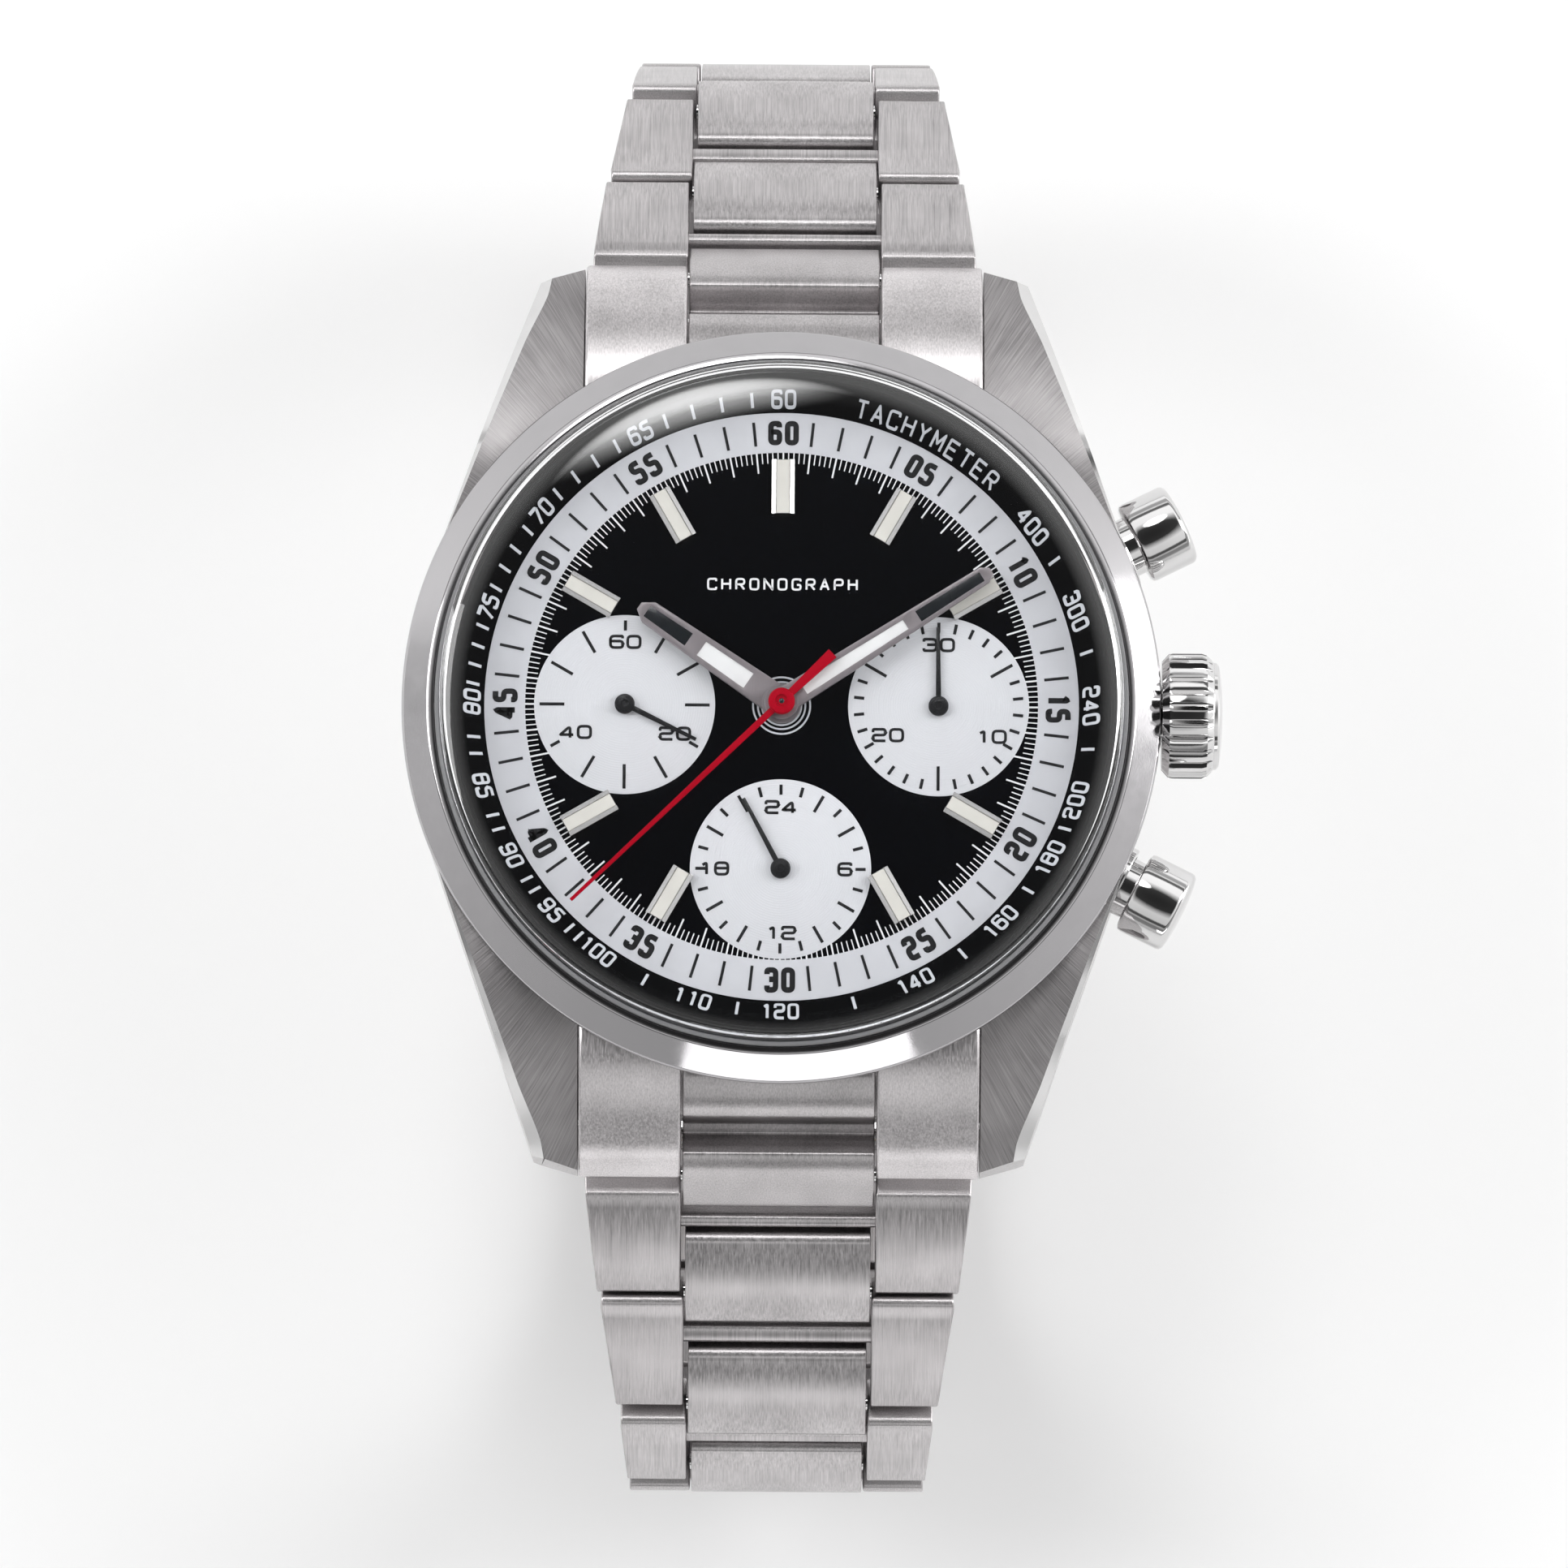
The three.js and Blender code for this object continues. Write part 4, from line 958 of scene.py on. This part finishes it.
def pusher_place(side):
    out = Matrix.Rotation(math.radians(PUSHER_ANGLE * side), 4, "Z")
    return HEAD @ Matrix.Translation((0, 0, PUSHER_Z * MM)) @ out @ Matrix.Rotation(math.pi / 2, 4, "Y")


def pushers():
    for name, side in (("start", 1), ("reset", -1)):
        place = pusher_place(side)
        profile = [
            (0, 17.1), (1.5, 17.1), (1.5, 19.7), (1.92, 19.74), (2.06, 19.83), (2.1, 20), (2.1, 21.98),
            (2.06, 22.12), (1.93, 22.24), (1.5, 22.33), (0.8, 22.4), (0, 22.43)
        ]
        cap = turned(f"pusher_{name}_cap", profile, "polish", f"pusher_{name}", "polished_steel", 96, place)
        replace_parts(cap, f"pusher_{name}")
        sleeve = [(1.62, 18.2), (1.95, 18.2), (1.95, 19.05), (1.9, 19.12), (1.62, 19.12)]
        turned(f"pusher_{name}_sleeve", sleeve, "polish", "head", "polished_steel", 72, place)


# ------------------------------------------------------------------ bracelet
LINK_WIDTHS = [(9.7, 9.1, 4.65), (8.87, 8.15, 4.5), (7.9, 7.6, 4.35)] + [(7.5, 7.5, 4.3)] * 4
PITCH = 7.1
TONGUE_HALF = 4.8
SIDE_GAP = 0.09
TAPER_LENGTH = 6.1


def crowned(start, end, height, drop, steps=10):
    """A gently domed line from its far end back to its start."""
    middle, reach = (start + end) / 2, (end - start) / 2
    places = [end + (start - end) * i / steps for i in range(steps + 1)]
    return [(y, height - drop * ((y - middle) / reach) ** 2) for y in places]


def pair(name, outline, inner, outer, *how):
    """The same piece on both sides of the bracelet's middle. Returns the first."""
    first = along_x(f"{name}_a", outline, inner, outer, *how)
    along_x(f"{name}_b", outline, -outer, -inner, *how)
    return first


def outer_outline(eased):
    """Side of an outer piece. The first row swings up past the end link, so its near end is eased."""
    skin_side = [(0.25, -1.48), (6.15, -1.48), (6.42, -1.35), (6.5, -1.1), (6.5, 0.95), (6.42, 1.2)]
    if eased:
        return [*arc(0.5, 110, 228, 8), *skin_side, *crowned(0.7, 6.2, 1.58, 0.16), (0.36, 1.27)]
    near_top = arc(0.42, 100, 180, 6, -0.08, 1.08)
    return [*near_top, *arc(0.5, 180, 228, 4), *skin_side, *crowned(0.1, 6.2, 1.58, 0.12)]


def centre_outline():
    return [
        (2.9, -1.2), (3.15, -1.48), (PITCH - 0.65, -1.48), *arc(0.9, -75, -15, 5, PITCH, 0),
        (PITCH + 1.2, 0.3), *arc(0.42, 0, 75, 5, PITCH + 0.83, 0.86),
        *crowned(3.5, PITCH + 0.5, 1.58, 0.2, 8), *arc(0.5, 100, 180, 5, 3.4, 0.88)
    ]


def crossbar_outline(start):
    return [
        (start, -1.15), (2.62, -1.15), (2.62, 0.8), (2.54, 0.98), (2.36, 1.1), (start + 0.28, 1.1),
        (start + 0.1, 1), (start, 0.78)
    ]


def link_row(side, index, last_open):
    name = f"link_{side}_{index + 1}"
    joint = joints[f"bracelet_{side}_open"] if index == 0 else joints[f"link_{side}_{index + 1}_bend"]
    after = joints.get(f"link_{side}_{index + 2}_bend")
    start = Vector(joint["pos_m"])
    if after:
        end = Vector(after["pos_m"])
    elif side == "12":
        end = Vector(joints["clasp_pin_bend"]["pos_m"])
    else:
        mirrored = joints["clasp_pin_bend"]["pos_m"]
        end = Vector((0, -mirrored[1], mirrored[2]))
    y_axis = (end - start).normalized()
    x_axis = Vector((1 if side == "12" else -1, 0, 0))
    z_axis = x_axis.cross(y_axis)
    place = Matrix((x_axis, y_axis, z_axis)).transposed().to_4x4()
    place.translation = start
    near, far, centre_half = LINK_WIDTHS[index]
    inner = (LINK_WIDTHS[index - 1][2] if index else TONGUE_HALF) + SIDE_GAP
    metal = ("link", name, "brushed_steel", place)
    side_view = outer_outline(index == 0)
    right = pair(f"{name}_outer", side_view, inner, near, *metal, 0.1, far, TAPER_LENGTH)
    bar_half = inner + 0.02
    along_x(f"{name}_bar", crossbar_outline(1.5 if index else 1.85), -bar_half, bar_half, *metal, 0.05)
    outline = centre_outline()
    if last_open:
        outline = [(min(y, 5.9), z) for y, z in outline]
        outline = [p for i, p in enumerate(outline) if p != outline[i - 1]]
    along_x(f"{name}_centre", outline, -centre_half, centre_half, *metal, 0.06)
    along_x(f"{name}_web", box_outline(2.5, 3.05, -1.1, -0.2), -centre_half, centre_half, *metal, 0)
    pin_half = near - 0.6
    along_x(
        f"{name}_pin", circle(0.4, count=24), -pin_half, pin_half, "polish", name, "polished_steel", place, 0
    )
    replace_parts(right, name)


END_LINK_HALF = 9.97


def end_link(side, turn_z):
    spin = HEAD @ Matrix.Rotation(turn_z, 4, "Z")
    hinge = Vector(joints[f"bracelet_{side}_open"]["pos_m"]) / MM
    y0, z0 = abs(hinge.y), hinge.z - DIAL_Z
    first = joints[f"link_{side}_2_bend"]["pos_m"]
    slope = math.atan2(hinge.z - first[2] / MM, abs(first[1]) / MM - y0)

    def on_link(along, out):
        c, s = math.cos(slope), math.sin(slope)
        return (y0 + along * c + out * s, z0 - along * s + out * c)

    def on_links(*points):
        return [on_link(*point) for point in points]

    shoulder = [
        (14.6, -0.32), (14.6, -6.3), (17, -6.3),
        *on_links((-0.6, -1.58), (-0.6, 1.2), (-0.65, 1.4), (-0.85, 1.54)), (22.25, -3), (21.6, -2.55),
        (20.8, -1.95), (19.9, -1.38), (19, -0.95), (18.2, -0.63), (17.4, -0.42), (16.4, -0.33)
    ]
    nose = on_links(
        (-1.2, -1.48), (-0.65, -1.48), *arc(0.9, -75, -15, 6), (1.25, 0.2), (1.4, 0.45), (1.4, 0.8),
        (1.3, 1), (1.05, 1.14), (-0.2, 1.4), (-1.2, 1.52), (-1.95, 1.5), (-2.2, 1.38), (-2.28, 1.1),
        (-2.28, -0.2)
    )
    middle = [(14.6, -0.72), (14.6, -6.3), (17, -6.3), *nose, (20.36, -4.3), (20.33, -2.2),
              (20.2, -1.95), (19.4, -1.42), (18.5, -1.02), (17.5, -0.78)]
    half, inner = END_LINK_HALF, TONGUE_HALF + SIDE_GAP
    metal = ("head", "brushed_steel")
    objects = []
    for label, outline, left, right, material, bevel in (
        ("shoulder_a", shoulder, inner, half, "end", 0.16),
        ("shoulder_b", shoulder, -half, -inner, "end", 0.16),
        ("middle", middle, -TONGUE_HALF, TONGUE_HALF, "link", 0.1)
    ):
        objects.append(
            along_x(f"end_link_{side}_{label}", outline, left, right, material, *metal, spin, bevel)
        )
    for i, obj in enumerate(objects):
        neck = turned(
            f"end_link_{side}_neck_{i}", [(0, -9), (17.93, -9), (17.93, 2), (0, 2)], "link", *metal, 128
        )
        apply_modifiers(obj)
        cut_with(obj, neck)
    core = [(18.3, -6), (20.1, -6), (20.1, -3.4), (18.3, -1.6)]
    along_x(f"end_link_{side}_core", core, -half + 0.6, half - 0.6, "link", *metal, spin, 0)
    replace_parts(objects[0], f"end_link_{side}")


# ------------------------------------------------------------------ clasp
FLAT_ON_TABLE = Matrix.Identity(4)
CLASP_HALF, CLASP_WALL, CLASP_END = 8.5, 0.9, 16.3
COVER_HINGE = (14.2, 1.9)
BLADE_HINGE = (-14.2, 2.55)
CLASP_PIN_Z = 2.3
BLADE_HALF, EAR_IN, EAR_OUT = 5.5, 5.65, 7.2


def clasp_piece(name, outline, left, right, material, body, slot, bevel=0.1, segments=3):
    return along_x(name, outline, left, right, material, body, slot, FLAT_ON_TABLE, bevel, segments=segments)


def clasp_pin(name, radius, place, half, body, slot, count=32, bevel=0.06):
    return clasp_piece(name, circle(radius, *place, count), -half, half, "polish", body, slot, bevel)


def clasp_cover(pin_y):
    body, slot = "clasp_cover", "brushed_steel"
    end = CLASP_END
    floor = both_sides([(10, 0), (end, 0.45), (end, 1.15), (10, 0.95)])
    half = CLASP_HALF - 0.1
    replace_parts(clasp_piece("clasp_floor", floor, -half, half, "link", body, slot), "clasp_cover")
    side = [(-10, 0), (10, 0), (end, 0.45), (end, 2.9), (15.9, 3.2), (14.4, 3.5), (-14.4, 3.6),
            *arc(1.25, 60, 240, 14, -pin_y, CLASP_PIN_Z), (-end, 0.45)]
    for label, left in (("a", CLASP_HALF - CLASP_WALL), ("b", -CLASP_HALF)):
        wall = clasp_piece(f"clasp_wall_{label}", side, left, left + CLASP_WALL, "flank", body, slot, 0.18, 4)
        apply_modifiers(wall)
        holes = [circle(0.5, y, CLASP_PIN_Z, 24) for y in (-pin_y, -14.9, -12.5)]
        for outline in (box_outline(-10.12, -6.48, 1.38, 2.82), *holes):
            cut_with(wall, clasp_piece("opening", outline, left - 1, left + 2, "flank", body, slot, 0))
    y, z = COVER_HINGE
    ear = [*arc(0.9, 0, 180, 16, y, z), (y - 0.9, 0.6), (y + 0.9, 0.6)]
    pair("clasp_ear", ear, EAR_IN, EAR_OUT, "polish", body, slot, FLAT_ON_TABLE, 0.1)
    clasp_pin("clasp_cover_pin", 0.4, COVER_HINGE, EAR_OUT + 0.05, body, slot)
    for name, radius, reach in (("barrel", 0.7, 7.52), ("tips", 0.42, 8.4)):
        place = (-pin_y, CLASP_PIN_Z)
        bar = clasp_pin(f"clasp_bar_{name}", radius, place, reach, body, "polished_steel", 40)
    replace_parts(bar, "clasp_spring_bar")


def clasp_blades(pin_y):
    (cover_y, cover_z), (blade_y, blade_z) = COVER_HINGE, BLADE_HINGE
    strap = [
        (blade_y, blade_z - 0.4), (blade_y + 2, 1.4), (cover_y - 1, 1.3), (cover_y, cover_z - 0.4),
        (cover_y, cover_z + 0.4), (cover_y - 1.5, 2.1), (blade_y + 2, 2.2), (blade_y, blade_z + 0.4)
    ]
    body, slot = "clasp_outer", "polished_steel"
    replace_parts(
        clasp_piece("clasp_outer_strap", strap, -BLADE_HALF, BLADE_HALF, "flank", body, slot, 0.12),
        "clasp_blade_outer"
    )
    for i, hinge in enumerate((COVER_HINGE, BLADE_HINGE)):
        clasp_pin(f"clasp_outer_knuckle_{i}", 0.62, hinge, BLADE_HALF, body, slot, 40, 0.05)
    body = "clasp_inner"
    strap = box_outline(blade_y - 0.4, pin_y - 1.6, 3.35, 4.1)
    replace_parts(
        clasp_piece("clasp_inner_strap", strap, -EAR_OUT, EAR_OUT, "flank", body, slot, 0.14),
        "clasp_blade_inner"
    )
    rear = [*arc(0.62, 180, 360, 14, blade_y, blade_z), (blade_y + 0.62, 3.7), (blade_y - 0.62, 3.7)]
    front = [
        *arc(0.85, -120, 60, 14, pin_y, CLASP_PIN_Z), (pin_y - 1, 4.1), (pin_y - 2.4, 4.1),
        (pin_y - 2.4, 3.4)
    ]
    inside = LINK_WIDTHS[-1][2] + SIDE_GAP
    for label, outline, low, high in (("rear", rear, EAR_IN, EAR_OUT), ("front", front, inside, EAR_OUT)):
        pair(f"clasp_inner_{label}", outline, low, high, "polish", body, slot, FLAT_ON_TABLE, 0.08)
    clasp_pin("clasp_blade_pin", 0.4, BLADE_HINGE, EAR_OUT + 0.05, body, slot)
    clasp_pin("clasp_link_pin", 0.4, (pin_y, CLASP_PIN_Z), EAR_OUT - 0.3, body, slot)


def clasp_buttons():
    slot = "polished_steel"
    for name, side in (("right", 1), ("left", -1)):
        body = f"clasp_button_{name}"

        def part(label, outline, low, high, bevel):
            left, right = sorted((side * low, side * high))
            return clasp_piece(f"{body}_{label}", outline, left, right, "polish", body, slot, bevel)

        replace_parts(part("pad", box_outline(-10, -6.6, 1.5, 2.7), 7.3, 9, 0.22), body)
        part("flange", box_outline(-10.5, -6.1, 1.3, 2.9), 6.9, 7.5, 0.1)
        for i in range(4):
            y = -9.35 + 0.7 * i
            part(f"rib_{i}", box_outline(y - 0.14, y + 0.14, 1.72, 2.48), 8.9, 9.1, 0.06)


# ------------------------------------------------------------------ movement
BRIDGE_BACK, COCK_BACK, WHEEL_BACK = -5.15, -6.25, -5.5
BARREL, THIRD, ESCAPE, CROWN_WHEEL = (3.85, 4.92), (-4.6, 2.6), (-9.4, -3.65), (10, 2.3)
BALANCE, COCK_FOOT, COLUMN = (-4.6, -9.6), (-10.3, -8.3), (6.4, -9.6)


def jewel(name, x, y, back):
    """Set jewel under a bridge: a gilt setting round a dished ruby with its oil sink."""
    ring = [(0.62, 0.05), (0.95, 0.05), (0.95, -0.03), (0.9, -0.06), (0.66, -0.06), (0.62, -0.02)]
    stone = [(0.13, 0.05), (0.63, 0.05), (0.63, -0.04), (0.52, -0.09), (0.3, -0.03), (0.13, 0.02)]
    for part, profile, material, slot in (
        ("setting", ring, "gilt", "gilt_brass"), ("stone", stone, "ruby", "red_paint")
    ):
        raised = [(r, back + z) for r, z in profile]
        turned(f"{name}_{part}", raised, material, "head", slot, 48, centre=(x, y))


def screw(name, x, y, back, radius, body, turned_to, material="gear_steel"):
    """Slotted screw head standing on a face that looks towards the caseback."""
    slot = 0.16 * radius
    base = [(0, back + 0.02), (radius, back + 0.02), (radius, back - 0.1), (0, back - 0.1)]
    turned(f"{name}_base", base, material, body, "movement_steel", 48, centre=(x, y))
    start = math.degrees(math.asin(slot / radius))
    halves = [turn(arc(radius, start + half, 180 - start + half, 24), turned_to, x, y) for half in (0, 180)]
    flat(f"{name}_head", halves, back - 0.24, back - 0.09, material, body, 0.035)


def movement_details():
    for name, (x, y) in (("third", THIRD), ("fourth", (-7.8, 0)), ("escape", ESCAPE)):
        jewel(f"jewel_{name}", x, y, BRIDGE_BACK)
    jewel("jewel_balance", *BALANCE, COCK_BACK)
    for i, (x, y) in enumerate(((1.5, 11.9), (12, -5.5), (2.4, -13), (-11.8, 6))):
        screw(f"bridge_screw_{i}", x, y, BRIDGE_BACK, 0.85, "head", 35 + 70 * i, "screw")
    screw("cock_screw", *COCK_FOOT, COCK_BACK, 0.9, "head", 20, "screw")
    screw("ratchet_screw", *BARREL, WHEEL_BACK, 1.15, "ratchet_wheel", 60)
    screw("crown_wheel_screw", *CROWN_WHEEL, WHEEL_BACK, 0.95, "crown_wheel", 110)


# ------------------------------------------------------------------ stage, light and camera
def lamp(name, place, target, size, power):
    light = bpy.data.lights.new(name, "AREA")
    light.shape = "RECTANGLE"
    light.size, light.size_y = size
    light.energy = power
    obj = in_scene(name, light)
    obj.location = place
    obj.rotation_euler = (Vector(target) - Vector(place)).to_track_quat("-Z", "Y").to_euler()


class Sky(Shader):
    """The world's node tree, with the same short ways."""

    def __init__(self, name):
        self.world = bpy.data.worlds.new(name)
        self.world.use_nodes = True
        self.tree = self.world.node_tree
        self.tree.nodes.clear()
        self.output = self.add("OutputWorld")


# Brightness of the tent by the height of the direction, from the horizon up to straight overhead.
TENT = [
    (0, 1), (0.12, 0.98), (0.18, 0.42), (0.31, 0.36), (0.39, 0.85), (0.43, 0.14), (0.52, 0.14), (0.57, 1.1),
    (0.8, 1.1), (0.87, 0.6), (0.93, 0.05), (1, 0.03)
]
TENT_LEAN = (0.1, 0.35)  # how much brighter the tent is to the right, and towards 12 o'clock
GLOW_TOWARD = (-0.1, 0.469, 0.877)
GLOW_STRENGTH = 8
GLOW_EDGE = (0.984, 0.9985)  # cosines where the soft lamp overhead begins and where it is full
FLAGS = ((-0.97, 0.19, 0.1), (0.82, 0.56, 0.06))  # directions of two dark panels beside the watch
FLAG_EDGE = (0.988, 0.996)


def world():
    sky = Sky("studio")
    bpy.context.scene.world = sky.world
    toward = sky.add("TexCoord").outputs["Generated"]
    parts = sky.add("SeparateXYZ")
    sky.first(parts, toward)
    x, y, z = parts.outputs
    tent = sky.add("ValToRGB")
    sky.first(tent, z)
    stops = tent.color_ramp.elements
    stops[0].position, stops[1].position = TENT[0][0], TENT[-1][0]
    stops[0].color = (*[TENT[0][1]] * 3, 1)
    stops[1].color = (*[TENT[-1][1]] * 3, 1)
    for position, value in TENT[1:-1]:
        stops.new(position).color = (value, value, value, 1)
    lean = sky.plus(sky.times(x, TENT_LEAN[0]), sky.times(y, TENT_LEAN[1]))
    around = sky.times(tent.outputs[0], sky.plus(lean, 1))

    def spot(direction, edge, start, full):
        facing = sky.add("VectorMath", operation="DOT_PRODUCT")
        sky.first(facing, toward, direction)
        soft = sky.add("MapRange", interpolation_type="SMOOTHSTEP")
        value = facing.outputs["Value"]
        sky.put(soft, Value=value, From_Min=edge[0], From_Max=edge[1], To_Min=start, To_Max=full)
        return soft.outputs[0]

    for flag in FLAGS:
        around = sky.times(around, spot(flag, FLAG_EDGE, 1, 0.03))
    strength = sky.plus(around, spot(GLOW_TOWARD, GLOW_EDGE, 0, GLOW_STRENGTH))
    sky.link(sky.first(sky.add("Background"), (1, 1, 1, 1), strength), sky.output.inputs[0])


def stage():
    floor = bpy.data.meshes.new("floor")
    floor.from_pydata([(-3, -3, 0), (3, -3, 0), (3, 3, 0), (-3, 3, 0)], [], [(0, 1, 2, 3)])
    obj = in_scene("floor", floor)
    s = Shader("floor_pale")
    whole, _ = s.place()
    s.set(Base_Color=s.tint(s.noise(whole, 0.02, 2), (0.93, 0.93, 0.93), (0.95, 0.95, 0.95)), Roughness=0.9)
    floor.materials.append(s.material)
    obj.location.z = -0.0002


CAMERA_TILT = 8.3
CAMERA_ROLL = 0.4
CAMERA_DISTANCE = 0.62
VIEW_WIDTH = 0.0782
DIAL_IN_VIEW = (-0.00012, 0.003845)  # the dial's centre from the middle of the view, right and up


def camera():
    data = bpy.data.cameras.new("camera")
    obj = in_scene("camera", data)
    tilt = math.radians(CAMERA_TILT)
    out = Vector((0, -math.sin(tilt), math.cos(tilt)))
    up = Vector((0, math.cos(tilt), math.sin(tilt)))
    place = Matrix((Vector((1, 0, 0)), up, out)).transposed().to_4x4()
    place = place @ Matrix.Rotation(math.radians(CAMERA_ROLL), 4, "Z")
    right, up = place.col[0].xyz, place.col[1].xyz
    target = Vector((0, 0, DIAL_Z * MM)) - right * DIAL_IN_VIEW[0] - up * DIAL_IN_VIEW[1]
    place.translation = target + out * CAMERA_DISTANCE
    obj.matrix_world = place
    data.sensor_width = 36
    data.angle = 2 * math.atan(VIEW_WIDTH / 2 / CAMERA_DISTANCE)
    data.clip_start = 0.01
    bpy.context.scene.camera = obj


# ------------------------------------------------------------------ kept CAD nodes
KEPT = {
    "plate": ["main_plate"], "bridge": ["train_bridge", "balance_cock"], "gasket": ["movement_holder"],
    "gear_steel": ["ratchet_wheel", "crown_wheel", "escape_wheel", "pallet_fork", "column_wheel"],
    "gilt": ["barrel", "centre_wheel", "third_wheel", "fourth_wheel", "balance_wheel", "chronograph_wheel",
             "minute_counter_wheel"],
    "polish": ["winding_stem", "setting_lever", "spring_bar_12", "spring_bar_6"],
}


def kept_nodes():
    for material, nodes in KEPT.items():
        for node in nodes:
            mesh = frame["nodes"][node].data
            mesh.materials.clear()
            mesh.materials.append(MAT[material])


case()
crystal()
caseback()
dial()
subdials()
tachymeter()
hands()
crown()
pushers()
for side_name, spin_angle in (("12", 0), ("6", math.pi)):
    end_link(side_name, spin_angle)
    for row in range(7):
        link_row(side_name, row, side_name == "6" and row == 6)
clasp_pin_y = joints["clasp_pin_bend"]["pos_m"][1] / MM
clasp_cover(clasp_pin_y)
clasp_blades(clasp_pin_y)
clasp_buttons()
movement_details()
kept_nodes()
world()
stage()
lamp("left_box", (-0.62, 0.13, 0.42), (0, 0, 0.03), (0.3, 0.6), 2.35)
lamp("right_box", (0.62, 0.17, 0.34), (0, 0, 0.03), (0.3, 0.6), 2.8)
lamp("right_strip", (0.55, 0.09, 0.018), (0, 0, 0.045), (0.4, 0.03), 0.09)
lamp("front_strip", (0.04, -0.66, 0.144), (0, 0, 0.045), (0.5, 0.088), 0.28)
camera()
bpy.context.scene.view_settings.view_transform = "Standard"

bpy.context.view_layer.update()
